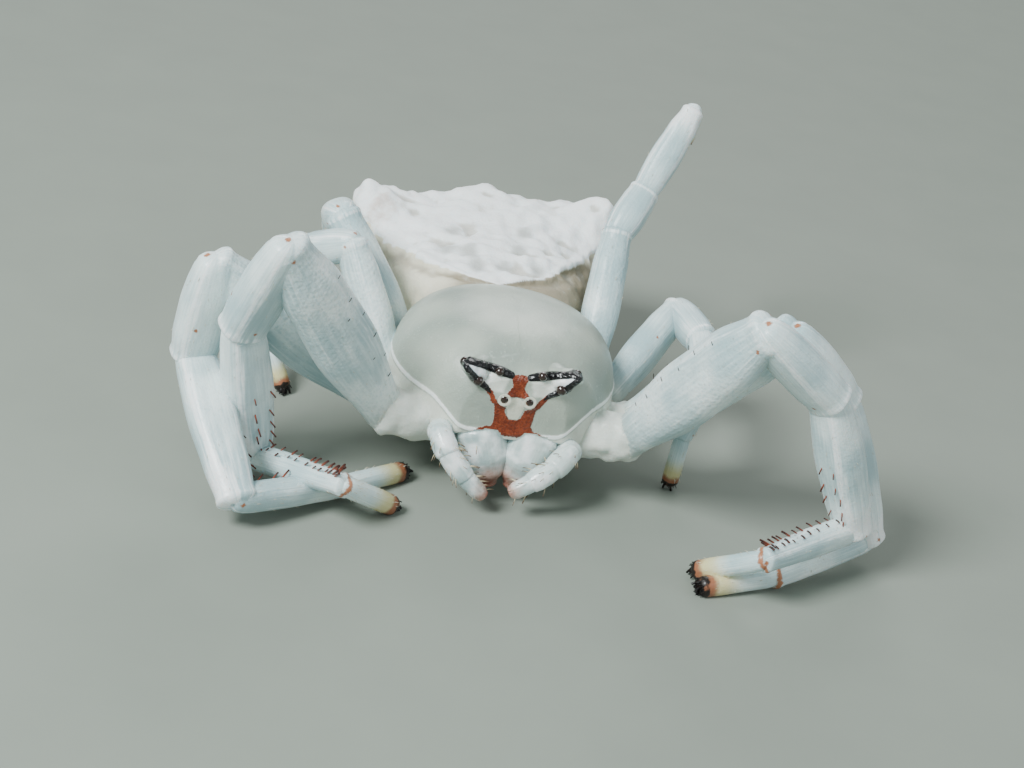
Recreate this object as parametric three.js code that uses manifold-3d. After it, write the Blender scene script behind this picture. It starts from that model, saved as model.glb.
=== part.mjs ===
// A female crab spider, life size, standing as she stood in the photograph.
// Millimetres. +Z is up, the floor is z = 0, she looks along -Y and her left side is +X.
import * as THREE from 'three';
import { mergeVertices } from 'three/addons/utils/BufferGeometryUtils.js';
import Module from 'manifold-3d';

const wasm = await Module();
wasm.setup();

// driving dimensions
const GAP = 0.08;              // clear space between neighbouring pieces of the limbs and the body
const EYE_GAP = 0.02;          // clear space round an eye in its socket
const FOOT_Z = 0.13;           // height of the middle of a foot above the floor
const BODY_BEND = -0.03;       // sideways lean of the body axis towards her right, per millimetre
const ABDOMEN_TWIST = 0.018;   // how much the abdomen's left side is lifted, growing with the distance back

const CARAPACE = { half: 1.70, rim: 1.05, crown: 2.47, middle: 0.05, face: -1.50, square: 3.0 };
const HORN = { base: [0.50, -1.15, 1.98], tip: [0.82, -1.62, 2.20], wide: 0.27, point: 0.06 };
const STERNUM = { half: [0.85, 1.10, 0.34], middle: [0, -0.10, 0.86] };

// eyes of her left side: middle and radius
const EYES = {
  anterior_median: { at: [0.182, -1.50, 1.735], r: 0.085 },
  posterior_median: { at: [0.312, -1.47, 2.135], r: 0.070 },
  anterior_lateral: { at: [0.605, -1.53, 1.990], r: 0.100 },
  posterior_lateral: { at: [0.815, -1.36, 2.175], r: 0.080 },
};

// abdomen: place along the body, half width, lowest and highest point of each ring
const ABDOMEN = [
  [0.95, 0.00, 1.72, 1.72],
  [1.02, 0.66, 1.30, 2.00],
  [1.25, 1.08, 0.98, 2.22],
  [1.80, 1.38, 0.72, 2.30],
  [2.60, 1.68, 0.54, 2.30],
  [3.40, 1.92, 0.46, 2.30],
  [4.10, 2.02, 0.48, 2.32],
  [4.70, 1.78, 0.60, 2.26],
  [5.20, 1.22, 0.84, 1.96],
  [5.45, 0.62, 1.10, 1.62],
  [5.52, 0.00, 1.36, 1.36],
];
// rounded humps of the abdomen: middle, reach and how far the skin is pushed out
const HUMPS = [
  { at: [1.85, 4.10, 2.05], reach: 0.58, push: [0.20, 0.05, 0.50] },
  { at: [-1.85, 4.10, 2.05], reach: 0.58, push: [-0.20, 0.05, 0.50] },
  { at: [0, 4.55, 2.30], reach: 0.50, push: [0, 0.05, 0.16] },
];

// joints of a limb: femur, patella, tibia, metatarsus, tarsus
const NAMES = ['femur', 'patella', 'tibia', 'metatarsus', 'tarsus'];
const LENGTHS = {
  1: [3.52, 1.55, 2.36, 1.90, 1.14],
  2: [3.42, 1.50, 2.30, 1.88, 1.10],
  3: [1.95, 0.85, 1.20, 0.85, 0.74],
  4: [2.25, 0.85, 1.50, 0.95, 0.76],
};
// where each femur starts, on her left side
const ROOTS = {
  1: [1.80, -1.14, 1.12],
  2: [1.92, -0.54, 1.04],
  3: [1.71, 0.36, 1.03],
  4: [1.45, 0.96, 1.08],
};
// where each coxa starts under the body, and how much thicker it is than the start of its femur
const HIPS = {
  1: [0.72, -0.72, 0.92],
  2: [0.86, -0.34, 0.88],
  3: [0.84, 0.16, 0.88],
  4: [0.66, 0.58, 0.92],
};
const COXA_SWELL = { 1: 1.18, 2: 1.10, 3: 1.04, 4: 1.04 };

// half height of a limb piece at its start, middle, three quarters and end, then its width over height
const SHAPE = {
  1: [[0.31, 0.49, 0.46, 0.32, 0.66], [0.32, 0.36, 0.36, 0.33, 0.84], [0.31, 0.36, 0.33, 0.27, 0.84],
    [0.21, 0.21, 0.19, 0.17, 0.95], [0.15, 0.15, 0.155, 0.15, 0.95]],
  2: [[0.30, 0.47, 0.43, 0.31, 0.62], [0.31, 0.36, 0.36, 0.32, 0.84], [0.30, 0.35, 0.32, 0.27, 0.84],
    [0.21, 0.21, 0.19, 0.17, 0.95], [0.15, 0.15, 0.155, 0.15, 0.95]],
  3: [[0.24, 0.31, 0.29, 0.24, 0.88], [0.25, 0.27, 0.27, 0.24, 0.95], [0.23, 0.25, 0.22, 0.18, 0.95],
    [0.16, 0.17, 0.16, 0.14, 0.95], [0.13, 0.13, 0.135, 0.13, 0.95]],
  4: [[0.25, 0.34, 0.32, 0.27, 0.88], [0.27, 0.29, 0.28, 0.25, 0.95], [0.24, 0.27, 0.24, 0.18, 0.95],
    [0.16, 0.17, 0.16, 0.14, 0.95], [0.13, 0.13, 0.135, 0.13, 0.95]],
};

// direction of each piece in degrees: forwards from straight sideways, then up from level
const POSE = {
  leg_1_right: [[33, 54], [-44, -66], [-129, -75], [133, 14], [-140, -25]],
  leg_2_right: [[18, 39], [-52, -80], [115, -33], [-145, -7], [-140, -4]],
  leg_3_right: [[-43, 58], [-34, -26], [-26, -48], [127, -58], [135, -47]],
  leg_4_right: [[-40, 48], [-87, -24], [-100, -39], [-112, -49], [-113, -52]],
  leg_1_left: [[59, 53], [-11, -39], [-14, -66], [144, 0], [-137, -31]],
  leg_2_left: [[46, 48], [-16, -45], [10, -67], [147, -6], [163, -4]],
  leg_3_left: [[-50, 29], [71, -5], [92, -11], [154, -72], [124, -75]],
  leg_4_left: [[-78, 52], [-50, 44], [-40, 58], [-76, -32], [-77, -35]],
};
const RAISED = 'leg_4_left';   // this foot is held up, the other seven stand on the floor

// colours
const LEG = { color: 0xccdcd8, roughness: 0.42, metalness: 0 };
const FOOT = { color: 0xd9d3ae, roughness: 0.5, metalness: 0 };
const SHELL = { color: 0xd6d9cf, roughness: 0.45, metalness: 0 };
const BELLY = { color: 0xeceade, roughness: 0.55, metalness: 0 };
const JAW = { color: 0xd9dcc4, roughness: 0.42, metalness: 0 };
const EYE = { color: 0x2a1408, roughness: 0.12, metalness: 0 };

const group = new THREE.Group();
const vec = (a) => new THREE.Vector3(a[0], a[1], a[2]);
const mirror = (a, s) => [a[0] * s, a[1], a[2]];
const bend = (y) => BODY_BEND * (y - CARAPACE.face);

// solids

// closed skin over a list of rings, with one point before the first and one after the last
function skin(start, rings, end) {
  const n = rings[0].length;
  const pos = [start, ...rings.flat(), end].flatMap((p) => [p.x, p.y, p.z]);
  const last = 1 + rings.length * n;
  const index = [];
  for (let j = 0; j < n; j += 1) {
    const k = (j + 1) % n;
    index.push(0, 1 + k, 1 + j);
    index.push(last, last - n + j, last - n + k);
    for (let i = 0; i + 1 < rings.length; i += 1) {
      const a = 1 + i * n;
      index.push(a + j, a + k, a + n + k);
      index.push(a + j, a + n + k, a + n + j);
    }
  }
  const geo = new THREE.BufferGeometry();
  geo.setAttribute('position', new THREE.Float32BufferAttribute(pos, 3));
  geo.setIndex(index);
  return geo;
}

// the solid inside a closed skin, turned the right way out
function solid(geo) {
  const g = geo.clone();
  g.deleteAttribute('normal');
  g.deleteAttribute('uv');
  const m = mergeVertices(g, 1e-5);
  const make = (tri) => new wasm.Manifold(new wasm.Mesh({
    numProp: 3,
    vertProperties: new Float32Array(m.attributes.position.array),
    triVerts: tri,
  }));
  const tri = new Uint32Array(m.index.array);
  const first = make(tri);
  if (first.volume() > 0) return first;
  const turned = new Uint32Array(tri.length);
  for (let i = 0; i < tri.length; i += 3) {
    turned[i] = tri[i];
    turned[i + 1] = tri[i + 2];
    turned[i + 2] = tri[i + 1];
  }
  return make(turned);
}

// the largest single body of a solid
function largest(body) {
  const parts = body.decompose();
  return parts.reduce((a, b) => (b.volume() > a.volume() ? b : a));
}

function geometryOf(body) {
  const m = body.getMesh();
  const geo = new THREE.BufferGeometry();
  geo.setAttribute('position', new THREE.Float32BufferAttribute(new Float32Array(m.vertProperties), 3));
  geo.setIndex(Array.from(m.triVerts));
  const flat = mergeVertices(geo, 1e-4);
  flat.computeVertexNormals();
  return flat;
}

// a rounded bar from a to b: half heights along it, width over height, and both ends domed
function bar(a, b, heights, ratio, normal, sides, grow = 0, dome = 0.75) {
  const axis = b.clone().sub(a);
  const length = axis.length();
  axis.normalize();
  const side = normal.clone().addScaledVector(axis, -normal.dot(axis)).normalize();
  const tall = side.clone().cross(axis);
  const steps = [0, 0.33, 0.67, 1];
  const keys = [0, 0.45, 0.75, 1];
  const curve = (t) => {
    let i = 0;
    while (i < 2 && t > keys[i + 1]) i += 1;
    const u = (t - keys[i]) / (keys[i + 1] - keys[i]);
    const s = u * u * (3 - 2 * u);
    return heights[i] + (heights[i + 1] - heights[i]) * s;
  };
  const rings = [];
  const ring = (along, r) => {
    const out = [];
    for (let j = 0; j < sides; j += 1) {
      const q = (2 * Math.PI * j) / sides;
      out.push(a.clone().addScaledVector(axis, along)
        .addScaledVector(side, Math.cos(q) * r * ratio)
        .addScaledVector(tall, Math.sin(q) * r));
    }
    rings.push(out);
  };
  const r0 = heights[0] + grow;
  const r1 = heights[3] + grow;
  ring(-r0 * dome * 0.6, r0 * 0.75);
  for (const t of steps) ring(t * length, curve(t) + grow);
  ring(length + r1 * dome * 0.5, r1 * 0.86);
  ring(length + r1 * dome * 0.86, r1 * 0.5);
  const start = a.clone().addScaledVector(axis, -r0 * dome);
  const end = b.clone().addScaledVector(axis, r1 * dome);
  return solid(skin(start, rings, end));
}

function ball(at, r, across = 12, high = 8) {
  const geo = new THREE.SphereGeometry(r, across, high);
  geo.rotateX(Math.PI / 2);
  geo.translate(at[0], at[1], at[2]);
  return solid(geo);
}

// a limb whose thickness runs along a smooth path through a few points
function pathLimb(points, radii, sides, count, grow = 0) {
  const path = new THREE.CatmullRomCurve3(points.map(vec), false, 'centripetal');
  const frame = path.computeFrenetFrames(count, false);
  const rings = [];
  const radius = (t) => {
    const x = t * (radii.length - 1);
    const i = Math.min(Math.floor(x), radii.length - 2);
    return radii[i] + (radii[i + 1] - radii[i]) * (x - i) + grow;
  };
  const ring = (at, k, r) => {
    const out = [];
    for (let j = 0; j < sides; j += 1) {
      const q = (2 * Math.PI * j) / sides;
      out.push(at.clone().addScaledVector(frame.normals[k], Math.cos(q) * r)
        .addScaledVector(frame.binormals[k], Math.sin(q) * r));
    }
    rings.push(out);
  };
  const a = path.getPointAt(0);
  const b = path.getPointAt(1);
  const ta = frame.tangents[0];
  const tb = frame.tangents[count];
  ring(a.clone().addScaledVector(ta, -radius(0) * 0.6), 0, radius(0) * 0.7);
  for (let k = 0; k <= count; k += 1) ring(path.getPointAt(k / count), k, radius(k / count));
  ring(b.clone().addScaledVector(tb, radius(1) * 0.6), count, radius(1) * 0.7);
  return solid(skin(a.clone().addScaledVector(ta, -radius(0) * 0.85), rings,
    b.clone().addScaledVector(tb, radius(1) * 0.85)));
}

// carapace: a high dome, pressed flat in front, with a pointed horn at each corner of the face
function domeBody() {
  const c = CARAPACE;
  const round = 36;
  const rows = 9;
  const rings = [];
  const place = (q, ring, h) => {
    const x = Math.sin(q) * c.half * ring;
    let y = -Math.cos(q) * (c.half + 0.05) * ring + c.middle;
    const over = c.face - y;
    y = c.face - Math.min(0.04, over * 0.2) * (over > 0 ? 1 : 0) + (over > 0 ? 0 : -over);
    const back = Math.max(0, y) / c.half;
    const z = c.rim + (c.crown - c.rim) * h * (1 - 0.10 * back * back);
    return new THREE.Vector3(x + bend(y), y, z);
  };
  const row = (ring, h) => {
    const out = [];
    for (let j = 0; j < round; j += 1) out.push(place((2 * Math.PI * (j + 0.5)) / round, ring, h));
    rings.push(out);
  };
  row(0.80, -0.10);
  row(0.96, -0.06);
  for (let i = 0; i < rows; i += 1) {
    const t = (Math.PI / 2) * (i / rows);
    row(Math.cos(t) ** (2 / c.square), Math.sin(t) ** (2 / c.square));
  }
  const low = new THREE.Vector3(bend(0), c.middle, c.rim - 0.18);
  const high = new THREE.Vector3(bend(0), c.middle, c.crown);
  return solid(skin(low, rings, high));
}

const sides = [['left', 1], ['right', -1]];
let shell = domeBody();
for (const [, s] of sides) {
  const a = vec(mirror(HORN.base, s));
  const b = vec(mirror(HORN.tip, s));
  const w = HORN.wide;
  const horn = bar(a, b, [w, w * 0.66, w * 0.40, HORN.point], 0.92, new THREE.Vector3(0, 0, 1), 12);
  shell = shell.add(horn);
}

// underside: sternum, eight coxae with their trochanters and the stalk to the abdomen
function underside(grow) {
  const h = STERNUM.half;
  const m = STERNUM.middle;
  const geo = new THREE.SphereGeometry(1, 16, 8);
  geo.scale(h[0] + grow, h[1] + grow, h[2] + grow);
  geo.translate(m[0] + bend(0), m[1], m[2]);
  let body = solid(geo);
  for (const [, s] of sides) {
    for (const k of [1, 2, 3, 4]) {
      const a = vec(mirror(HIPS[k], s));
      a.x += bend(0) * 0.5;
      const b = vec(mirror(ROOTS[k], s));
      const r = SHAPE[k][0][0] * COXA_SWELL[k];
      const heights = [r * 1.05, r * 1.10, r * 1.02, r * 0.94];
      body = body.add(bar(a, b, heights, 0.86, new THREE.Vector3(0, 1, 0.01), 10, grow));
    }
  }
  const stalk = bar(new THREE.Vector3(bend(0.6), 0.5, 1.0), new THREE.Vector3(bend(1.2), 1.35, 1.42),
    [0.24, 0.22, 0.22, 0.22], 1.1, new THREE.Vector3(1, 0, 0), 12, grow);
  return body.add(stalk);
}
const hipBody = underside(0);
const hipRoom = underside(GAP);

// abdomen
function abdomenBody(grow = 0) {
  const table = ABDOMEN.slice(1, -1);
  const sizes = table.map((r) => new THREE.Vector3(r[1], r[2], r[3]));
  const places = table.map((r) => new THREE.Vector3(r[0], 0, 0));
  const path = new THREE.CatmullRomCurve3(sizes, false, 'catmullrom');
  const along = new THREE.CatmullRomCurve3(places, false, 'catmullrom');
  const round = 32;
  const rows = 20;
  const rings = [];
  const pushed = (p) => {
    for (const hump of HUMPS) {
      const near = Math.exp(-(p.distanceTo(vec(hump.at)) ** 2) / (hump.reach ** 2));
      p.addScaledVector(vec(hump.push), near);
    }
    p.z += ABDOMEN_TWIST * p.x * (p.y - ABDOMEN[0][0]);
    p.x += bend(p.y);
    return p;
  };
  for (let i = 0; i <= rows; i += 1) {
    const t = i / rows;
    const shape = path.getPoint(t);
    const y = along.getPoint(t).x;
    const middle = (shape.y + shape.z) / 2;
    const half = (shape.z - shape.y) / 2;
    const out = [];
    for (let j = 0; j < round; j += 1) {
      const q = (2 * Math.PI * j) / round;
      const cx = Math.cos(q);
      const sz = Math.sin(q);
      const x = Math.sign(cx) * Math.abs(cx) ** 0.80 * (shape.x + grow);
      const z = Math.sign(sz) * Math.abs(sz) ** (sz > 0 ? 0.72 : 0.95) * (half + grow);
      out.push(pushed(new THREE.Vector3(x, y, middle + z)));
    }
    rings.push(out);
  }
  const first = ABDOMEN[0];
  const last = ABDOMEN[ABDOMEN.length - 1];
  return solid(skin(
    new THREE.Vector3(bend(first[0]), first[0] - grow, first[2]),
    rings,
    new THREE.Vector3(bend(last[0]), last[0] + grow, last[2]),
  ));
}
const abdomen = abdomenBody(0);
const abdomenRoom = abdomenBody(GAP);

// naming and adding
const floor = (() => {
  const box = new THREE.BoxGeometry(40, 40, 4);
  box.translate(0, 0, -2);
  return solid(box);
})();

function add(name, body, look) {
  const kept = largest(body.subtract(floor));
  const mesh = new THREE.Mesh(geometryOf(kept), new THREE.MeshStandardMaterial(look));
  mesh.name = name;
  group.add(mesh);
}

// eyes, each in a socket of the carapace
shell = shell.subtract(hipRoom).subtract(abdomenRoom);
for (const [side, s] of sides) {
  for (const [kind, eye] of Object.entries(EYES)) {
    const at = mirror(eye.at, s);
    shell = shell.subtract(ball(at, eye.r + EYE_GAP, 10, 8));
    add(`eye_${kind}_${side}`, ball(at, eye.r, 10, 8), EYE);
  }
}

// jaws: two broad flat wedges below the face
const CHELICERA = {
  base: [0.40, -1.32, 1.02],
  tip: [0.16, -1.40, 0.27],
  half: [0.35, 0.33, 0.22, 0.11],
  deep: 0.66,
};
const jaws = {};
for (const [side, s] of sides) {
  const make = (grow) => bar(vec(mirror(CHELICERA.base, s)), vec(mirror(CHELICERA.tip, s)), CHELICERA.half,
    CHELICERA.deep, new THREE.Vector3(0, 1, 0), 14, grow, 0.6);
  jaws[side] = { body: make(0), room: make(GAP) };
}
const sideBox = (s) => {
  const geo = new THREE.BoxGeometry(10, 10, 10);
  geo.translate(s * (5 - GAP / 2), 0, 0);
  return solid(geo);
};
const shellRoom = domeBody().scale([1.04, 1.045, 1.03]).translate([0, 0, -0.09]);
add('chelicera_left', jaws.left.body.subtract(sideBox(-1)).subtract(shellRoom).subtract(hipRoom), JAW);
add('chelicera_right', jaws.right.body.subtract(sideBox(1)).subtract(shellRoom).subtract(hipRoom), JAW);

// palps
const PALPS = {
  left: [
    [0.80, -1.15, 0.82],
    [0.96, -1.56, 1.02],
    [0.72, -1.82, 0.84],
    [0.40, -1.92, 0.62],
    [0.10, -1.94, 0.42],
  ],
  right: [
    [-0.84, -1.15, 0.86],
    [-1.07, -1.56, 1.14],
    [-0.93, -1.80, 0.92],
    [-0.63, -1.90, 0.60],
    [-0.31, -1.93, 0.32],
  ],
};
const PALP_R = [0.16, 0.20, 0.19, 0.17, 0.11];
for (const [side] of sides) {
  const palp = pathLimb(PALPS[side], PALP_R, 10, 9).subtract(hipRoom).subtract(jaws.left.room)
    .subtract(jaws.right.room).subtract(shellRoom);
  add(`palp_${side}`, palp, JAW);
}

add('carapace', shell, SHELL);
add('underside_with_coxae', hipBody.subtract(abdomenRoom), SHELL);
add('abdomen', abdomen, BELLY);

const spinA = new THREE.Vector3(bend(5.0), 4.95, 0.86);
const spinB = new THREE.Vector3(bend(5.3), 5.38, 0.66);
const SPINNERET_R = [0.30, 0.28, 0.24, 0.18];
const spinnerets = bar(spinA, spinB, SPINNERET_R, 1.1, new THREE.Vector3(1, 0, 0), 12);
add('spinnerets', spinnerets.subtract(abdomenRoom), BELLY);

// legs
function jointsOf(name) {
  const k = Number(name[4]);
  const s = name.endsWith('left') ? 1 : -1;
  const points = [vec(mirror(ROOTS[k], s))];
  POSE[name].forEach(([turn, rise], i) => {
    const length = LENGTHS[k][i];
    const from = points[i];
    let up = THREE.MathUtils.degToRad(rise);
    if (i === 4 && name !== RAISED) up = -Math.asin(Math.min(0.99, (from.z - FOOT_Z) / length));
    const flat = THREE.MathUtils.degToRad(turn);
    const level = Math.cos(up) * length;
    const across = s * level * Math.cos(flat);
    const step = new THREE.Vector3(across, -level * Math.sin(flat), length * Math.sin(up));
    points.push(from.clone().add(step));
  });
  return points;
}

for (const name of Object.keys(POSE)) {
  const k = Number(name[4]);
  const points = jointsOf(name);
  const femur = points[1].clone().sub(points[0]);
  const sizes = SHAPE[k];
  const normal = femur.clone().cross(new THREE.Vector3(0, 0, 1)).normalize();
  let before = hipRoom;
  NAMES.forEach((piece, i) => {
    const heights = sizes[i].slice(0, 4);
    const ratio = sizes[i][4];
    const round = k < 3 && i < 3 ? 12 : 8;
    const make = (grow) => bar(points[i], points[i + 1], heights, ratio, normal, round, grow, 0.7);
    let body = make(0).subtract(before);
    if (i === 0) body = body.subtract(shellRoom);
    if (i < 3 && k > 2) body = body.subtract(abdomenRoom);
    add(`${name}_${piece}`, body, i === 4 ? FOOT : LEG);
    before = make(GAP);
  });
}

// the middle of the whole model stands over the origin
const box = new THREE.Box3().setFromObject(group);
const shift = [-(box.min.x + box.max.x) / 2, -(box.min.y + box.max.y) / 2, -box.min.z];
for (const mesh of group.children) mesh.geometry.translate(...shift);

export default group;
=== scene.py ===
# %% [markdown]
# # A white crab spider, life size
# This notebook dresses a solid model of a female crab spider. The solids are already packed, so the
# first cell loads them as a fixed frame. Every size below is in millimetres and is turned into metres
# when a mesh is finished. The floor is z = 0, she looks along -Y and her left side is +X.

# %% Load the frame
import math

import bmesh
import bpy
import numpy as np
from mathutils import Matrix, Vector, noise


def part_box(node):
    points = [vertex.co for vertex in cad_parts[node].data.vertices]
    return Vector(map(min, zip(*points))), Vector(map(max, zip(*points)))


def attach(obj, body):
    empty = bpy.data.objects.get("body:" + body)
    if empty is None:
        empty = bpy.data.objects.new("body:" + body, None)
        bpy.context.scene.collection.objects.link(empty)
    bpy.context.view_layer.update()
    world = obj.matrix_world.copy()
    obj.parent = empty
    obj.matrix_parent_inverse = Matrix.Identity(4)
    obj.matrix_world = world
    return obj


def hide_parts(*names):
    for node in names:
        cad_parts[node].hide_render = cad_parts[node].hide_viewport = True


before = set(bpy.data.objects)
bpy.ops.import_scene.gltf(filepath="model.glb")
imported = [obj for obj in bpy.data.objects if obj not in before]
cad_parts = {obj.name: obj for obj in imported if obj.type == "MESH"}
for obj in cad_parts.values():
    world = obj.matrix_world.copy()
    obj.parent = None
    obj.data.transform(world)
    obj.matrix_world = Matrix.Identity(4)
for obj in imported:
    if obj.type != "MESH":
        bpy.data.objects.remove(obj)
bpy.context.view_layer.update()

MM = 0.001

# %% [markdown]
# The sizes of the animal are repeated here, because the solids can't tell how they were drawn. One eye
# is enough to find where the drawing's zero lies in the frame: its box has its middle at a known place.

# %% Sizes of the animal
FACE_Y = -1.50
BODY_BEND = -0.03
ABDOMEN_TWIST = 0.018
CARAPACE = {"half": 1.70, "rim": 1.05, "crown": 2.47, "middle": 0.05, "square": 3.0}
HORN = {"base": (0.50, -1.15, 1.98), "tip": (0.82, -1.62, 2.20), "wide": 0.27, "point": 0.06}
STERNUM = {"half": (0.85, 1.10, 0.34), "middle": (0.0, -0.10, 0.86)}
EYES = {
    "anterior_median": ((0.182, -1.50, 1.735), 0.085),
    "posterior_median": ((0.312, -1.47, 2.135), 0.070),
    "anterior_lateral": ((0.605, -1.53, 1.990), 0.100),
    "posterior_lateral": ((0.815, -1.36, 2.175), 0.080),
}
ABDOMEN = [
    (0.95, 0.00, 1.72, 1.72), (1.02, 0.66, 1.30, 2.00), (1.25, 1.08, 0.98, 2.22),
    (1.80, 1.38, 0.72, 2.30), (2.60, 1.68, 0.54, 2.30), (3.40, 1.92, 0.46, 2.30),
    (4.10, 2.02, 0.48, 2.32), (4.70, 1.78, 0.60, 2.26), (5.20, 1.22, 0.84, 1.96),
    (5.45, 0.62, 1.10, 1.62), (5.52, 0.00, 1.36, 1.36),
]
HUMPS = [
    ((1.85, 4.10, 2.05), 0.58, (0.30, 0.05, 0.58)),
    ((-1.85, 4.10, 2.05), 0.58, (-0.28, 0.05, 0.58)),
    ((0.0, 4.55, 2.30), 0.50, (0.0, 0.05, 0.16)),
]
CHELICERA = {"base": (0.40, -1.29, 1.08), "tip": (0.16, -1.42, 0.27), "deep": 0.80}
CHELICERA_R = (0.37, 0.38, 0.28, 0.12)
PALPS = {
    "left": [
        (0.80, -1.15, 0.82), (0.92, -1.52, 0.98), (0.69, -1.76, 0.82), (0.39, -1.86, 0.61),
        (0.12, -1.88, 0.42),
    ],
    "right": [
        (-0.84, -1.15, 0.86), (-1.02, -1.52, 1.10), (-0.88, -1.75, 0.88), (-0.59, -1.85, 0.58),
        (-0.29, -1.88, 0.32),
    ],
}
PALP_R = [0.15, 0.175, 0.165, 0.145, 0.095]
FOOT_Z = 0.13

eye_low, eye_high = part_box("eye_anterior_median_left")
ORIGIN = (eye_low + eye_high) / 2 - Vector(EYES["anterior_median"][0]) * MM
print("the drawing's zero lies at", [round(v / MM, 3) for v in ORIGIN], "mm")

# %% [markdown]
# Each limb is a chain of five pieces. A table gives the length of every piece and the way it points:
# degrees forwards from straight sideways, then degrees up. The last piece of a standing limb simply
# reaches down to the floor, so it needs no angle of its own.

# %% Limbs
PIECES = ["femur", "patella", "tibia", "metatarsus", "tarsus"]
LENGTHS = {
    1: (3.52, 1.55, 2.36, 1.90, 1.14), 2: (3.42, 1.50, 2.30, 1.88, 1.10),
    3: (1.95, 0.85, 1.20, 0.85, 0.74), 4: (2.25, 0.85, 1.50, 0.95, 0.76),
}
ROOTS = {1: (1.80, -1.14, 1.12), 2: (1.92, -0.54, 1.04), 3: (1.71, 0.36, 1.03), 4: (1.45, 0.96, 1.08)}
HIPS = {1: (0.72, -0.72, 0.92), 2: (0.86, -0.34, 0.88), 3: (0.84, 0.16, 0.88), 4: (0.66, 0.58, 0.92)}
COXA_SWELL = {1: 1.18, 2: 1.10, 3: 1.04, 4: 1.04}
SHAPE = {
    1: [(0.31, 0.49, 0.46, 0.32, 0.66), (0.32, 0.36, 0.36, 0.33, 0.84), (0.31, 0.36, 0.33, 0.27, 0.84),
        (0.21, 0.21, 0.19, 0.17, 0.95), (0.15, 0.15, 0.155, 0.15, 0.95)],
    2: [(0.30, 0.47, 0.43, 0.31, 0.62), (0.31, 0.36, 0.36, 0.32, 0.84), (0.30, 0.35, 0.32, 0.27, 0.84),
        (0.21, 0.21, 0.19, 0.17, 0.95), (0.15, 0.15, 0.155, 0.15, 0.95)],
    3: [(0.24, 0.31, 0.29, 0.24, 0.88), (0.25, 0.27, 0.27, 0.24, 0.95), (0.23, 0.25, 0.22, 0.18, 0.95),
        (0.16, 0.17, 0.16, 0.14, 0.95), (0.13, 0.13, 0.135, 0.13, 0.95)],
    4: [(0.25, 0.34, 0.32, 0.27, 0.88), (0.27, 0.29, 0.28, 0.25, 0.95), (0.24, 0.27, 0.24, 0.18, 0.95),
        (0.16, 0.17, 0.16, 0.14, 0.95), (0.13, 0.13, 0.135, 0.13, 0.95)],
}
POSE = {
    "leg_1_right": [(33, 54), (-44, -66), (-129, -75), (133, 14), (-140, -25)],
    "leg_2_right": [(18, 39), (-52, -80), (115, -33), (-145, -7), (-140, -4)],
    "leg_3_right": [(-43, 58), (-34, -26), (-26, -48), (127, -58), (135, -47)],
    "leg_4_right": [(-40, 48), (-87, -24), (-100, -39), (-112, -49), (-113, -52)],
    "leg_1_left": [(59, 53), (-11, -39), (-14, -66), (144, 0), (-137, -31)],
    "leg_2_left": [(46, 48), (-16, -45), (10, -67), (147, -6), (163, -4)],
    "leg_3_left": [(-50, 29), (71, -5), (92, -11), (154, -72), (124, -75)],
    "leg_4_left": [(-78, 52), (-50, 44), (-40, 58), (-76, -32), (-77, -35)],
}
RAISED = "leg_4_left"


def unit(v):
    return v / np.linalg.norm(v)


def mirrored(p, s):
    return np.array([p[0] * s, p[1], p[2]], float)


def smooth(low, high, x):
    """0 at low, 1 at high and smooth between."""
    t = np.clip((x - low) / (high - low), 0, 1)
    return t * t * (3 - 2 * t)


def bend(y):
    return BODY_BEND * (y - FACE_Y)


def joints_of(name):
    k = int(name[4])
    s = 1 if name.endswith("left") else -1
    points = [mirrored(ROOTS[k], s)]
    for i, (turn, rise) in enumerate(POSE[name]):
        length = LENGTHS[k][i]
        up = math.radians(rise)
        if i == 4 and name != RAISED:
            up = -math.asin(min(0.99, (points[-1][2] - FOOT_Z) / length))
        flat = math.radians(turn)
        step = np.array([s * math.cos(up) * math.cos(flat), -math.cos(up) * math.sin(flat), math.sin(up)])
        points.append(points[-1] + length * step)
    return points


JOINTS = {name: joints_of(name) for name in POSE}
print("feet at", {n: [round(float(v), 2) for v in j[-1]] for n, j in JOINTS.items()})

# %% [markdown]
# A limb piece is a bar of soft, flattened round section with domed ends. It could be a scaled cylinder
# with a bevel, but a ring-by-ring skin follows the swelling of the real femur and tibia better, and the
# same few numbers later tell every vertex which piece it lies on, for the colours.

# %% Bars
# where along a piece its four half heights are given
KEYS = (0.0, 0.45, 0.75, 1.0)
# how square a section is (2 is an ellipse), and how far the far end of a piece is domed
SQUARE = {
    "femur": 2.3, "patella": 2.6, "tibia": 2.7, "metatarsus": 2.4, "tarsus": 2.2, "palp": 2.2, "jaw": 2.3,
}
END_DOME = {"femur": 0.42, "patella": 0.32, "tibia": 0.40, "metatarsus": 0.35, "palp": 0.45}
LIPPED = ("femur", "patella", "tibia", "metatarsus", "palp")
NECKED = ("patella", "tibia", "metatarsus", "tarsus", "palp")
LIP_WIDE = 0.06
NECK = 0.86
START_RINGS = (15, 32, 50, 70)
END_RINGS = (78, 60, 40, 18)


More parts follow.
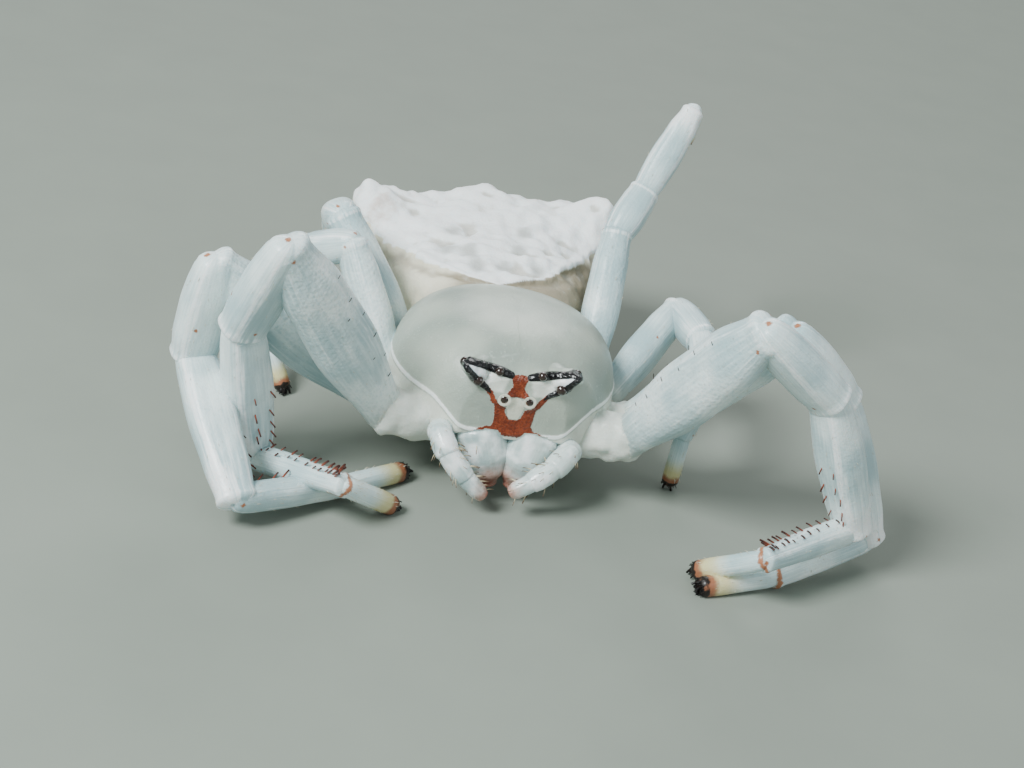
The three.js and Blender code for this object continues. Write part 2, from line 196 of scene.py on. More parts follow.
class Bar:
    """One limb piece from a to b, with its half heights at four keys and its width over height."""

    def __init__(self, kind, a, b, heights, ratio, normal, dome=0.7):
        self.kind, self.a, self.b = kind, np.array(a, float), np.array(b, float)
        self.heights, self.ratio, self.dome = heights, ratio, dome
        self.square = SQUARE.get(kind, 2.0)
        self.end_dome = END_DOME.get(kind, dome)
        self.lip = (0.03 if kind == "palp" else 0.06) * (kind in LIPPED)
        self.length = float(np.linalg.norm(self.b - self.a))
        self.axis = (self.b - self.a) / self.length
        normal = np.array(normal, float)
        self.side = unit(normal - self.axis * (normal @ self.axis))
        self.tall = np.cross(self.side, self.axis)

    def radius(self, t):
        t = np.clip(np.asarray(t, float), 0.0, 1.0)
        i = np.clip(np.searchsorted(KEYS, t, side="right") - 1, 0, 2)
        keys, h = np.array(KEYS), np.array(self.heights)
        u = (t - keys[i]) / (keys[i + 1] - keys[i])
        u = u * u * (3 - 2 * u)
        r = h[i] + (h[i + 1] - h[i]) * u
        along = t * self.length
        if self.kind in NECKED:
            r = r * (NECK + (1 - NECK) * np.clip(along / (0.9 * h[0]), 0, 1) ** 0.5)
        return r * (1 + self.lip * np.exp(-(((self.length - along) / LIP_WIDE) ** 2)))

    def ring(self, angle):
        """Directions round the section, from the side, for one angle or many."""
        c, s = np.cos(angle), np.sin(angle)
        wide = np.sign(c) * np.abs(c) ** (2 / self.square) * self.ratio
        high = np.sign(s) * np.abs(s) ** (2 / self.square)
        return np.multiply.outer(wide, self.side) + np.multiply.outer(high, self.tall)

    def point(self, t, angle, lift=1.0):
        """A point on the skin at t along and angle round from the side, and the way it faces."""
        out = self.ring(angle)
        return self.a + self.axis * t * self.length + out * float(self.radius(t)) * lift, unit(out)

    def angle_of(self, way):
        """The angle round the bar that faces a given way."""
        return math.atan2(float(way @ self.tall), float(way @ self.side) / self.ratio)

    def place(self, p):
        """How far out each point is (1 on the skin), how far along, and which way round."""
        d = p - self.a
        t = np.clip(d @ self.axis / self.length, 0, 1)
        r = self.radius(t)
        q = d - t[:, None] * self.length * self.axis
        ends = np.where(t > 0.5, self.end_dome, self.dome)
        u = q @ self.side / (r * self.ratio)
        v = q @ self.tall / r
        w = q @ self.axis / (r * ends)
        far = (np.abs(u) ** self.square + np.abs(v) ** self.square) ** (2 / self.square) + w * w
        return np.sqrt(far), t, np.arctan2(v, u)

    def skin(self, sides, rings):
        round_steps = np.arange(sides) * 2 * math.pi / sides
        rows = []
        r0, r1 = float(self.radius(0.0)), float(self.radius(1.0))
        for q in np.radians(START_RINGS):
            rows.append((-r0 * self.dome * math.cos(q), r0 * math.sin(q)))
        even = np.linspace(0, 1, rings)
        for t in 0.45 * even + 0.55 * (0.5 - 0.5 * np.cos(np.pi * even)):
            rows.append((t * self.length, float(self.radius(t))))
        for q in np.radians(END_RINGS):
            rows.append((self.length + r1 * self.end_dome * math.cos(q), r1 * math.sin(q)))
        circle = self.ring(round_steps)
        points = [self.a - self.axis * r0 * self.dome]
        for along, r in rows:
            points.extend(self.a + self.axis * along + circle * r)
        points.append(self.b + self.axis * r1 * self.end_dome)
        return np.array(points), tube_faces(len(rows), sides)


print("half heights of a bar are given at", KEYS, "of its length")

# %% [markdown]
# Rows of rings become faces in the same way for every closed form here: bars, dome, balls and abdomen.
# With that, every limb piece can be listed as a bar.

# %% Limb pieces
def tube_faces(rows, sides):
    """Faces of a closed skin: one point, rows of rings, one point."""
    last = 1 + rows * sides
    faces = []
    for j in range(sides):
        k = (j + 1) % sides
        faces.append((0, 1 + k, 1 + j))
        faces.append((last, last - sides + j, last - sides + k))
        for i in range(rows - 1):
            a = 1 + i * sides
            faces.append((a + j, a + k, a + sides + k, a + sides + j))
    return faces


def to_mesh(name, points, faces):
    mesh = bpy.data.meshes.new(name)
    mesh.from_pydata([tuple(p) for p in points], [], faces)
    bm = bmesh.new()
    bm.from_mesh(mesh)
    bmesh.ops.recalc_face_normals(bm, faces=bm.faces)
    bm.to_mesh(mesh)
    bm.free()
    return mesh


bars = []
for name, joints in JOINTS.items():
    k = int(name[4])
    across = np.cross(joints[1] - joints[0], (0, 0, 1))
    for i, piece in enumerate(PIECES):
        bar = Bar(piece, joints[i], joints[i + 1], SHAPE[k][i][:4], SHAPE[k][i][4], across)
        bar.limb, bar.pair = name, k
        bars.append(bar)
print("limb pieces", len(bars))

# %% [markdown]
# The short coxae hold the limbs to the sternum, the two jaws hang under the face, and a palp stands on
# each side of them. They are bars too, so one list holds every piece that is longer than it is wide.
# The forty limb pieces come first in it.

# %% Coxae, jaws and palps
COXA_PROFILE = (1.05, 1.10, 1.02, 0.94)
PALP_SWELL = 1.06

for side, s in (("left", 1), ("right", -1)):
    for k in (1, 2, 3, 4):
        hip = mirrored(HIPS[k], s)
        hip[0] += bend(0) * 0.5
        heights = [SHAPE[k][0][0] * COXA_SWELL[k] * part for part in COXA_PROFILE]
        bars.append(Bar("coxa", hip, mirrored(ROOTS[k], s), heights, 0.86, (0, 1, 0.01)))
    base, tip = (mirrored(CHELICERA[end], s) for end in ("base", "tip"))
    bars.append(Bar("jaw", base, tip, CHELICERA_R, CHELICERA["deep"], (0, 1, 0), dome=0.4))
    for a, b, r0, r1 in zip(PALPS[side], PALPS[side][1:], PALP_R, PALP_R[1:]):
        middle = (r0 + r1) / 2 * PALP_SWELL
        bars.append(Bar("palp", a, b, (r0, middle, middle, r1), 1.0, (0.3, 1, 0.2), dome=0.8))
print("bars with coxae, jaws and palps", len(bars))

# %% [markdown]
# The carapace is a high dome, squarer than a ball, whose front is pressed flat to make the face. A
# superellipse gives that with two exponents. The horns that carry the side eyes are tapered bars.

# %% Carapace, horns and sternum
# how much higher the front edge of the carapace lies than its sides
FACE_EDGE_LIFT = 0.12
# the rolled-in lower rings of the carapace: how wide and how high each is
LOWER_RINGS = ((0.80, -0.10), (0.96, -0.06), (0.99, -0.03))
ROOT_DEPTH = 0.18


def dome_skin(sides=220, rows=74):
    c = CARAPACE
    points = []

    def place(q, ring, high):
        x = np.sin(q) * c["half"] * ring
        y = -np.cos(q) * (c["half"] + 0.05) * ring + c["middle"]
        over = FACE_Y - y
        y = np.where(over > 0, FACE_Y - np.minimum(0.04, over * 0.2), y)
        back = np.maximum(0, y) / c["half"]
        front = smooth(-1.15, -1.50, y) * smooth(1.0, 0.65, np.abs(x)) * FACE_EDGE_LIFT
        z = c["rim"] + (c["crown"] - c["rim"]) * high * (1 - 0.10 * back * back) + front * (1 - high)
        return np.stack([x + bend(y), y, z], -1)

    q = 2 * math.pi * (np.arange(sides) + 0.5) / sides
    points.append(np.array([[bend(0), c["middle"], c["rim"] - ROOT_DEPTH]]))
    points += [place(q, ring, high) for ring, high in LOWER_RINGS]
    for i in range(rows):
        t = math.pi / 2 * (i / rows) ** 1.15
        points.append(place(q, math.cos(t) ** (2 / c["square"]), math.sin(t) ** (2 / c["square"])))
    points.append(np.array([[bend(0), c["middle"], c["crown"]]]))
    return np.concatenate(points), tube_faces(rows + 3, sides)


HORN_R = (HORN["wide"], HORN["wide"] * 0.66, HORN["wide"] * 0.40, HORN["point"])
horns = []
for s in (1, -1):
    base, tip = (mirrored(HORN[end], s) for end in ("base", "tip"))
    horns.append(Bar("horn", base, tip, HORN_R, 0.92, (0, 0, 1), dome=0.75))


def ball_skin(middle, half, sides=40, rows=22):
    points = [np.array([[0, 0, -1.0]])]
    q = 2 * math.pi * np.arange(sides) / sides
    circle = np.stack([np.cos(q), np.sin(q), np.zeros(sides)], -1)
    for i in range(1, rows):
        a = math.pi * i / rows
        points.append(circle * math.sin(a) + (0, 0, -math.cos(a)))
    points.append(np.array([[0, 0, 1.0]]))
    return np.concatenate(points) * half + middle, tube_faces(rows - 1, sides)


sternum_middle = np.array(STERNUM["middle"]) + (bend(0), 0, 0)
STALK = {"from": (bend(0.6), 0.5, 1.0), "to": (bend(1.2), 1.35, 1.42)}
STALK_R = (0.24, 0.22, 0.22, 0.22)
stalk = Bar("stalk", STALK["from"], STALK["to"], STALK_R, 1.1, (1, 0, 0), dome=0.75)
print("carapace points", len(dome_skin()[0]))

# %% [markdown]
# All these closed forms are joined into one skin with a boolean union, as the living animal has one
# skin. A voxel remesh would do it too, but it rounds off the crisp folds at the joints.

# %% One skin
def union(name, parts):
    """One closed mesh from many closed ones, by a boolean union of a collection."""
    group = bpy.data.collections.new(name + "_parts")
    bpy.context.scene.collection.children.link(group)
    objects = []
    for i, (points, faces) in enumerate(parts):
        obj = bpy.data.objects.new(f"{name}_{i}", to_mesh(f"{name}_{i}", points, faces))
        objects.append(obj)
        if i:
            group.objects.link(obj)
        else:
            bpy.context.scene.collection.objects.link(obj)
    base = objects[0]
    cut = base.modifiers.new("join", "BOOLEAN")
    cut.operation, cut.operand_type, cut.collection, cut.solver = "UNION", "COLLECTION", group, "MANIFOLD"
    dg = bpy.context.evaluated_depsgraph_get()
    mesh = bpy.data.meshes.new_from_object(base.evaluated_get(dg), depsgraph=dg)
    mesh.name = name
    for obj in objects:
        old = obj.data
        bpy.data.objects.remove(obj)
        bpy.data.meshes.remove(old)
    bpy.data.collections.remove(group)
    return mesh


# sides and rings of each kind of bar
DETAIL = {
    "femur": (40, 34), "patella": (36, 20), "tibia": (36, 24), "metatarsus": (26, 18), "tarsus": (24, 16),
    "coxa": (44, 26), "jaw": (40, 20), "palp": (26, 8), "horn": (48, 26), "stalk": (20, 6),
}


def points_of(mesh):
    return np.array([v.co for v in mesh.vertices])


def normals_of(mesh):
    flat_list = np.zeros(len(mesh.vertices) * 3)
    mesh.vertices.foreach_get("normal", flat_list)
    return flat_list.reshape(-1, 3)


def move_points(mesh, places):
    mesh.vertices.foreach_set("co", places.ravel())


forms = [dome_skin()]
forms += [horn.skin(*DETAIL["horn"]) for horn in horns]
forms.append(ball_skin(sternum_middle, np.array(STERNUM["half"])))
forms.append(stalk.skin(*DETAIL["stalk"]))
forms += [bar.skin(*DETAIL[bar.kind]) for bar in bars]
skin_mesh = union("skin", forms)
triangles = sum(len(face.vertices) - 2 for face in skin_mesh.polygons)
print("skin", len(skin_mesh.vertices), "points", triangles, "triangles")

# %% [markdown]
# The markings of the face are fine, so the faces round it are split once more before they are painted.
# Everything that touches the floor is kept just above it.

# %% Finer face
FACE_LOW, FACE_HIGH = np.array((-1.05, -1.85, 1.00)), np.array((1.05, -1.05, 2.55))
LOWEST = 0.002


def in_face(vert):
    place = np.array(vert.co)
    return (place > FACE_LOW).all() and (place < FACE_HIGH).all()


def finer(mesh):
    bm = bmesh.new()
    bm.from_mesh(mesh)
    edges = [e for e in bm.edges if all(in_face(v) for v in e.verts)]
    bmesh.ops.subdivide_edges(bm, edges=edges, cuts=1, use_grid_fill=True)
    bmesh.ops.triangulate(bm, faces=[f for f in bm.faces if len(f.verts) > 4])
    bm.to_mesh(mesh)
    bm.free()


finer(skin_mesh)
points = points_of(skin_mesh)
points[:, 2] = np.maximum(points[:, 2], LOWEST)
move_points(skin_mesh, points)
print("skin after refining the face", len(skin_mesh.vertices), "points")

# %% [markdown]
# ## What each point of the skin is
# A vertex lies on the bar that it is least far out of, because a union keeps only outer skin. From that
# come its place along the piece and its angle. The painted marks are stored as distances to their
# outlines, which stay sharp between vertices where a stored colour would blur.

# %% Where every vertex is
def nearest_bars(p):
    best = np.full(len(p), 1e9)
    index = np.full(len(p), -1)
    along, angle = np.zeros(len(p)), np.zeros(len(p))
    for i, bar in enumerate(bars):
        far, t, turn = bar.place(p)
        near = far < best
        best[near], index[near], along[near], angle[near] = far[near], i, t[near], turn[near]
    return best, index, along, angle


far, index, along, angle = nearest_bars(points)
kinds = np.array([b.kind for b in bars])
on_bar = far < 1.05
kind = np.where(on_bar, kinds[index], "body")
print({k: int((kind == k).sum()) for k in sorted(set(kind))})

# %% [markdown]
# The marks are drawn with three distances: to a line whose width tapers, to a closed outline, and to a
# point. Each is less than zero inside the mark, or becomes so when the mark's radius is taken off.

# %% Distances
def capsule(p, a, b, ra, rb):
    """Distance to a tapered line from a to b, less its half width."""
    a, b = np.array(a, float), np.array(b, float)
    ab = b - a
    t = np.clip((p - a) @ ab / (ab @ ab), 0, 1)
    return np.linalg.norm(p - a - t[:, None] * ab, axis=1) - (ra + (rb - ra) * t)


def polygon(p, corners):
    """Signed distance to a flat outline, less than zero inside."""
    corners = np.array(corners, float)
    best = np.full(len(p), 1e9)
    inside = np.zeros(len(p), bool)
    for a, b in zip(corners, np.roll(corners, -1, axis=0)):
        best = np.minimum(best, capsule(p, a, b, 0, 0))
        crosses = (a[1] > p[:, 1]) != (b[1] > p[:, 1])
        with np.errstate(divide="ignore", invalid="ignore"):
            x = (b[0] - a[0]) * (p[:, 1] - a[1]) / (b[1] - a[1]) + a[0]
        inside ^= crosses & (p[:, 0] < x)
    return np.where(inside, -best, best)


def far_from(p, middle):
    return np.linalg.norm(p - middle, axis=1)


unit_square = [(-0.5, -0.5), (0.5, -0.5), (0.5, 0.5), (-0.5, 0.5)]
print("the middle of a unit square lies", float(polygon(np.zeros((1, 2)), unit_square)[0]), "from its edge")

# %% [markdown]
# The mask: a brick-red collar between and under the front eyes, and two black lines on each horn that
# meet at its tip. They are drawn on the flat of the face as (sideways, up) in millimetres, one side only.
# Points that stand out from the face are first slid back onto it along the line from which the face was
# studied, so that the lines run over the horns as they were seen. The mask sits a little askew.

# %% The marks of the face
BRIDGE = [
    (-0.05, 2.150), (0.140, 2.118), (0.096, 2.000), (0.088, 1.925), (0.175, 1.800), (0.150, 1.770),
    (0.060, 1.775), (-0.05, 1.790),
]
COLLAR = [
    (0.345, 1.735), (0.310, 1.640), (0.290, 1.500), (0.272, 1.330), (0.300, 1.262), (0.370, 1.245),
    (0.545, 1.188), (0.300, 1.150), (-0.05, 1.120), (-0.05, 1.400), (0.070, 1.405), (0.110, 1.470),
    (0.132, 1.545), (0.140, 1.595), (0.235, 1.625), (0.270, 1.660),
]
UPPER_LINE = [(0.840, 2.225), (0.720, 2.245), (0.560, 2.215), (0.400, 2.180), (0.312, 2.150), (0.150, 2.112)]
UPPER_WIDTH = (0.042, 0.058, 0.064, 0.074, 0.080, 0.060)
LOWER_LINE = [(0.840, 2.205), (0.722, 2.060), (0.608, 1.972), (0.470, 1.875), (0.390, 1.790)]
LOWER_WIDTH = (0.040, 0.052, 0.056, 0.046, 0.014)
RED_TAIL = [(0.470, 1.875), (0.385, 1.780), (0.320, 1.670)]
RED_TAIL_WIDTH = (0.034, 0.042, 0.046)
# the pale patch between the front eyes, and the white between the two black lines of a horn
PATCH = [(-0.05, 1.770), (0.100, 1.745), (0.128, 1.600), (0.100, 1.480), (0.060, 1.420), (-0.05, 1.410)]
BETWEEN = [(0.150, 2.060), (0.830, 2.230), (0.608, 1.972), (0.400, 1.800), (0.215, 1.830)]
SIGHT = {"sideways": 0.167, "up": 0.496, "askew": 0.022}
COMB = {"high": 0.010, "apart": 0.055}

out_of_face = points[:, 1] - FACE_Y
seen_x = points[:, 0] - SIGHT["sideways"] * out_of_face
seen_z = points[:, 2] + SIGHT["up"] * out_of_face + SIGHT["askew"] * seen_x
flat = np.stack([np.abs(seen_x), seen_z], -1)
off_face = np.where((points[:, 1] < -1.10) & (kind == "body"), 0.0, 1.0)


def line(p, corners, widths):
    pieces = zip(corners, corners[1:], widths, widths[1:])
    return np.min([capsule(p, a, b, wa, wb) for a, b, wa, wb in pieces], axis=0)


# the lower edge of the collar is toothed like a comb
comb = COMB["high"] * np.sin(seen_x * 2 * math.pi / COMB["apart"]) * smooth(1.24, 1.18, seen_z)
red = np.min([polygon(flat, BRIDGE), polygon(flat, COLLAR), line(flat, RED_TAIL, RED_TAIL_WIDTH)], axis=0)
red += off_face + comb
black = np.minimum(line(flat, UPPER_LINE, UPPER_WIDTH), line(flat, LOWER_LINE, LOWER_WIDTH)) + off_face
patch = polygon(flat, PATCH) + off_face
between = polygon(flat, BETWEEN) + off_face
front_eye, front_eye_r = EYES["anterior_median"]
eye_far = np.minimum(*(far_from(points, mirrored(front_eye, s)) for s in (1, -1))) - front_eye_r
print("red points", int((red < 0).sum()), "black points", int((black < 0).sum()))

# %% [markdown]
# The black lines stand up a little and are knobbly, the eyes sit on small mounds, the carapace has a
# thin raised brim and the coxae are wrinkled. These are moved in the mesh, because they show against
# the light.

# %% Relief of the skin
BRIM = {"front": 1.165, "back": 1.50, "lift": 0.016, "half": 0.03}
RIDGE = {"lift": 0.014, "knobs": 0.020}
MOUND = {"lift": 0.035, "wide": 0.06}

knobs = 0.5 + 0.5 * np.sin(points[:, 0] * 58) * np.sin(points[:, 2] * 71 + 1.3)
lift = np.clip(-black / 0.04, 0, 1) * (RIDGE["lift"] + RIDGE["knobs"] * knobs)
for at, r in EYES.values():
    for s in (1, -1):
        d = far_from(points, mirrored(at, s))
        lift += MOUND["lift"] * np.exp(-(((d - r) / MOUND["wide"]) ** 2)) * (off_face == 0)
to_side = np.maximum(smooth(0.62, 1.25, np.abs(points[:, 0])), smooth(-1.2, -0.8, points[:, 1]))
margin = points[:, 2] - (BRIM["front"] + (BRIM["back"] - BRIM["front"]) * to_side)
lift += BRIM["lift"] * np.exp(-(((margin - BRIM["half"]) / BRIM["half"]) ** 2)) * (kind == "body")


def lumps(p, scale, seed):
    """Smooth noise at every point, about -1 to 1."""
    shift = Vector((seed * 7.3, seed * 3.1, seed * 5.7))
    return np.array([noise.noise(Vector(q) * scale + shift) for q in p])


wrinkled = kind == "coxa"
lift[wrinkled] += 0.060 * lumps(points[wrinkled], 3.4, 4) + 0.028 * lumps(points[wrinkled], 8.0, 5)
points = points + normals_of(skin_mesh) * lift[:, None]
points[:, 2] = np.maximum(points[:, 2], LOWEST)
move_points(skin_mesh, points)
print("highest relief in mm", round(float(lift.max()), 3))

# %% [markdown]
# Limb markings: small amber dots where the joints hinge, one larger one on the top of each knee, and an
# amber ring before each front foot. They are stored as distances to their edges too.

# %% Amber dots and rings
DOT = {1: 0.034, 2: 0.034, 3: 0.026, 4: 0.026}
KNEE_DOT = 1.5
RING_HALF = 0.032


def outermost(start, way):
    """The skin point that lies furthest out along a way from a start."""
    d = points - start
    along_way = d @ way
    aside = np.linalg.norm(d - along_way[:, None] * way, axis=1)
    return points[np.argmax(np.where((aside < 0.06) & (along_way < 0.7), along_way, -1))]


amber = np.full(len(points), 1.0)
for before, bar in zip(bars, bars[1:]):
    if bar.kind not in ("patella", "tibia", "metatarsus", "tarsus"):
        continue
    size = DOT[bar.pair]
    hinges = [(outermost(bar.a - bar.axis * 0.03, bar.side * s), size) for s in (1, -1)]
    if bar.kind == "patella":
        hinges.append((outermost(bar.a, unit(before.axis - bar.axis)), size * KNEE_DOT))
    for hinge, reach in hinges:
        amber = np.minimum(amber, far_from(points, hinge) - reach)
    if bar.kind == "tarsus" and bar.pair < 3:
        near = np.where(far_from(points, bar.a) < 0.32, 0.0, 1.0)
        amber = np.minimum(amber, np.abs((points - bar.a) @ bar.axis + 0.02) - RING_HALF + near)
print("amber points", int((amber < 0).sum()))

# %% [markdown]
# The rest are plain numbers from 0 to 1: white streaks under the skin, fine pimples, the yellow to brown
# end of each foot, the reddish ends of the jaws, and the warmer tone of the body. All of them are stored
# on the mesh, where the finish reads them.

# %% Soft markings
STREAK = {
    "femur": 0.42, "patella": 0.72, "tibia": 0.82, "metatarsus": 0.62, "tarsus": 0.4, "jaw": 0.5, "palp": 0.5,
}
PIMPLED = {"femur": 1.0, "tibia": 0.35, "metatarsus": 0.35}
TONE = {"body": 1.0, "jaw": 0.35, "palp": 0.35}


def by_kind(values):
    """A number for every vertex from a table by the kind of piece, 0 where the table has none."""
    return np.array([values.get(k, 0.0) for k in kind])


foot = np.where(kind == "tarsus", along, 0.0)
tone = np.where(kind == "femur", 0.5 * (1 - smooth(0.0, 0.2, along)), by_kind(TONE))
cream = np.where(kind == "coxa", 1.0, np.where(kind == "body", smooth(0.02, -0.06, margin), 0.0))
cream = np.where(kind == "femur", 0.5 * (1 - smooth(0.0, 0.12, along)), cream)
brim = np.where(kind == "body", margin, 1.0)
dorsal = np.sin(angle)
edges = np.exp(-(((dorsal - 0.62) / 0.16) ** 2)) + 0.8 * np.exp(-(((dorsal + 0.66) / 0.13) ** 2))
mouth = np.isin(kind, ["jaw", "palp"])
streak = by_kind(STREAK) * np.where(mouth, 1.0, edges)
streak += np.where(kind == "tibia", smooth(0.62, 0.95, along) * smooth(-0.7, 0.3, dorsal) * 0.9, 0.0)
ends = np.array([b.b for b in bars])[index]
ways = np.array([b.axis for b in bars])[index]
beyond = np.sum((points - ends) * ways, axis=1)
rim = np.where(np.isin(kind, ["femur", "patella", "tibia"]), np.exp(-(((beyond + 0.02) / 0.035) ** 2)), 0.0)
streak = np.clip(np.maximum(streak, 0.8 * rim), 0, 1)
lengths = np.array([b.length for b in bars])[index]
# the ends of the jaws and palps redden towards the gap between them
low_jaw = smooth(0.95, 0.30, points[:, 2]) * smooth(0.62, 0.08, np.abs(points[:, 0] + 0.08))
fang = np.where(mouth, low_jaw, 0.0)


def store(mesh, **values):
    for name, value in values.items():
        layer = mesh.attributes.new(name, "FLOAT", "POINT")
        layer.data.foreach_set("value", np.asarray(value, np.float32))


store(skin_mesh, red=red, black=black, patch=patch, between=between, eye_far=eye_far, amber=amber)
store(skin_mesh, foot=foot, tone=tone, streak=streak, fang=fang, cream=cream, brim=brim)
# how far towards a horn a point lies, for the painted bluish highlight on the white there
store(skin_mesh, pimple=by_kind(PIMPLED), to_horn=smooth(0.35, 0.75, np.abs(seen_x)))
store(skin_mesh, jaw=mouth, body=kind == "body")
store(skin_mesh, length_mm=along * lengths, round_x=np.cos(angle), round_y=np.sin(angle))
print("stored", len(skin_mesh.attributes), "attributes")

# %% [markdown]
# ## The abdomen
# A soft bag with a flat white plate on top that rises to two shoulder humps. Its skin is drawn in folds
# along the sides and pitted on the plate where muscles pull it in. It is one ring-by-ring skin, with the
# folds as real relief.

# %% Abdomen
def spline(table, t):
    """Smooth values through evenly numbered rows of a table."""
    table = np.array(table, float)
    n = len(table) - 1
    x = np.clip(np.asarray(t), 0, 1) * n
    i = np.minimum(x.astype(int), n - 1)
    u = (x - i)[:, None]
    padded = np.vstack([2 * table[0] - table[1], table, 2 * table[-1] - table[-2]])
    a, b, c, d = (padded[i + n] for n in range(4))
    square_part = 2 * a - 5 * b + 4 * c - d
    cube_part = 3 * b - a - 3 * c + d
    return 0.5 * (2 * b + (c - a) * u + square_part * u ** 2 + cube_part * u ** 3)


# pits of the plate (sideways, back), how wide and long they are, and the plate's half width along it
PITS = [
    (-0.40, 2.30), (0.42, 2.55), (-0.30, 1.80), (0.12, 1.88), (-0.62, 3.10), (0.55, 3.20), (0.66, 1.95),
    (-0.75, 2.45),
]
PIT_WIDE, PIT_LONG, PIT_DEEP = 0.17, 0.26, 0.045
PLATE_Y = (1.25, 1.40, 1.60, 2.00, 2.40, 3.00, 4.15, 4.80, 5.30)
PLATE_HALF = (0.05, 0.42, 0.74, 1.06, 1.28, 1.60, 2.35, 2.20, 1.60)


def abdomen_skin(sides=240, rows=190):
    rings = ABDOMEN[1:-1]
    shape = spline(rings, np.linspace(0, 1, rows))
    q = 2 * math.pi * np.arange(sides) / sides
    cx, sz = np.cos(q), np.sin(q)
    across = np.sign(cx) * np.abs(cx) ** 0.80
    high = np.sign(sz) * np.abs(sz) ** np.where(sz > 0, 0.72, 0.95)
    y = np.repeat(shape[:, 0], sides)
    half, low, top = (np.repeat(shape[:, i], sides) for i in (1, 2, 3))
    x = np.tile(across, rows) * half
    z = (low + top) / 2 + np.tile(high, rows) * (top - low) / 2
    p = np.stack([x, y, z], -1)
    for at, reach, push in HUMPS:
        near = np.exp(-(np.linalg.norm(p - np.array(at), axis=1) / reach) ** 2)
        p = p + near[:, None] * np.array(push)
    p[:, 2] += ABDOMEN_TWIST * p[:, 0] * (p[:, 1] - ABDOMEN[0][0])
    p[:, 0] += bend(p[:, 1])
    first, last = (np.array([[bend(end[0]), end[0], end[2]]]) for end in (ABDOMEN[0], ABDOMEN[-1]))
    return np.concatenate([first, p, last]), tube_faces(rows, sides)


SPINNERET = {"from": (bend(5.0), 4.95, 0.86), "to": (bend(5.3), 5.38, 0.66)}
SPINNERET_R = (0.30, 0.28, 0.24, 0.18)
spinneret = Bar("spinneret", SPINNERET["from"], SPINNERET["to"], SPINNERET_R, 1.1, (1, 0, 0), dome=0.75)
abdomen_mesh = union("abdomen_skin", [abdomen_skin(), spinneret.skin(30, 14)])
bag, normals = points_of(abdomen_mesh), normals_of(abdomen_mesh)
print("abdomen", len(bag), "points")

# %% [markdown]
# The folds of the sides are waves whose course is bent by slower waves, as skin folds run. The plate is
# lumpy instead, which a few layers of smooth noise give, and its edge is a thick, scalloped rim.

# %% Folds of the abdomen
x, y, z = (bag - (bend(3.0), 0, 0)).T
wander = 0.35 * np.sin(2.1 * x + 1.3 * y)
wander += 0.30 * np.sin(3.3 * z - 1.7 * y + 0.8)
wander += 0.18 * np.sin(5.2 * x - 4.1 * z + 2.0)
coarse, middling, small = lumps(bag, 1.9, 1), lumps(bag, 4.2, 2), lumps(bag, 9.0, 3)
inside = np.interp(y, PLATE_Y, PLATE_HALF) - np.abs(x) + 0.09 * middling + 0.05 * small
facing_up = smooth(-0.10, 0.30, normals[:, 2])
up = smooth(-0.03, 0.05, inside) * facing_up
fading = smooth(4.3, 3.3, y)
edge = np.exp(-(((inside - 0.07) / 0.07) ** 2)) * facing_up * fading
under = np.exp(-(((inside + 0.14) / 0.13) ** 2)) * smooth(-0.3, 0.2, normals[:, 2]) * fading
side = 1 - up
folds = 0.022 * np.sin(9.5 * (y + 0.35 * wander) + 2.2 * z)
folds += 0.010 * np.sin(15.0 * (z + 0.22 * wander) + 1.5 * x)
folds = (folds + 0.030 * middling) * side - 0.050 * under
plate = (0.070 * middling + 0.016 * small + 0.060 * coarse) * up + 0.045 * edge
pits = np.zeros(len(bag))
for px, py in PITS:
    pits += np.exp(-(((x - px) / PIT_WIDE) ** 2 + ((y - py) / PIT_LONG) ** 2)) * up
near_stalk = smooth(1.05, 1.5, y)
move_points(abdomen_mesh, bag + normals * ((folds + plate) * near_stalk - PIT_DEEP * pits)[:, None])
# painted shade: greyer where the skin dips, in the troughs of the folds and the dips of the plate
hollow = smooth(0.0, -0.06, plate + folds * 0.6)
# painted shade in brown: under the plate's rim, on the front by the stalk, on the underside, and on the front
# of her left side, which faces away from the key lamp
brown = under * 0.6 + smooth(1.75, 1.2, y) * side * 0.6 + smooth(0.1, -0.5, normals[:, 2]) * 0.2
brown += smooth(3.6, 2.2, y) * smooth(-0.9, 0.2, x) * side * 1.0
shoulder = np.exp(-(((x + 1.75) / 0.40) ** 2 + ((y - 3.7) / 0.45) ** 2))
store(abdomen_mesh, pits=pits, hollow=hollow, brown=brown, plate=up, shoulder=shoulder)
print("folds up to", round(float(np.abs(folds + plate).max()), 3), "mm")

# %% [markdown]
# ## Shader maths
# A small class wraps one output of a node tree, so that a mask can be written as an expression. Colours
# go through Mix nodes, and every node comes from one method, also in the tree that grows bristles.

# %% Shader helper
class Signal:
    """One output of a node: a number or colour on its way through a tree."""

    def __init__(self, nodes, socket):
        self.nodes, self.socket = nodes, socket

    def _math(self, operation, *others):
        return self.nodes.node("ShaderNodeMath", {"operation": operation}, (self, *others))

    def __add__(self, other):
        return self._math("ADD", other)

    def __sub__(self, other):
        return self._math("SUBTRACT", other)

    def __mul__(self, other):
        return self._math("MULTIPLY", other)

    def __truediv__(self, other):
        return self._math("DIVIDE", other)

    def __rsub__(self, other):
        return self.nodes.node("ShaderNodeMath", {"operation": "SUBTRACT"}, (other, self))

    __radd__, __rmul__ = __add__, __mul__

    def step(self, low, high):
        """0 at low, 1 at high and smooth between."""
        ends = {"Value": self, "From Min": low, "From Max": high}
        return self.nodes.node("ShaderNodeMapRange", {"interpolation_type": "SMOOTHSTEP"}, ends)

    def size(self):
        """The number without its sign."""
        return self._math("ABSOLUTE")


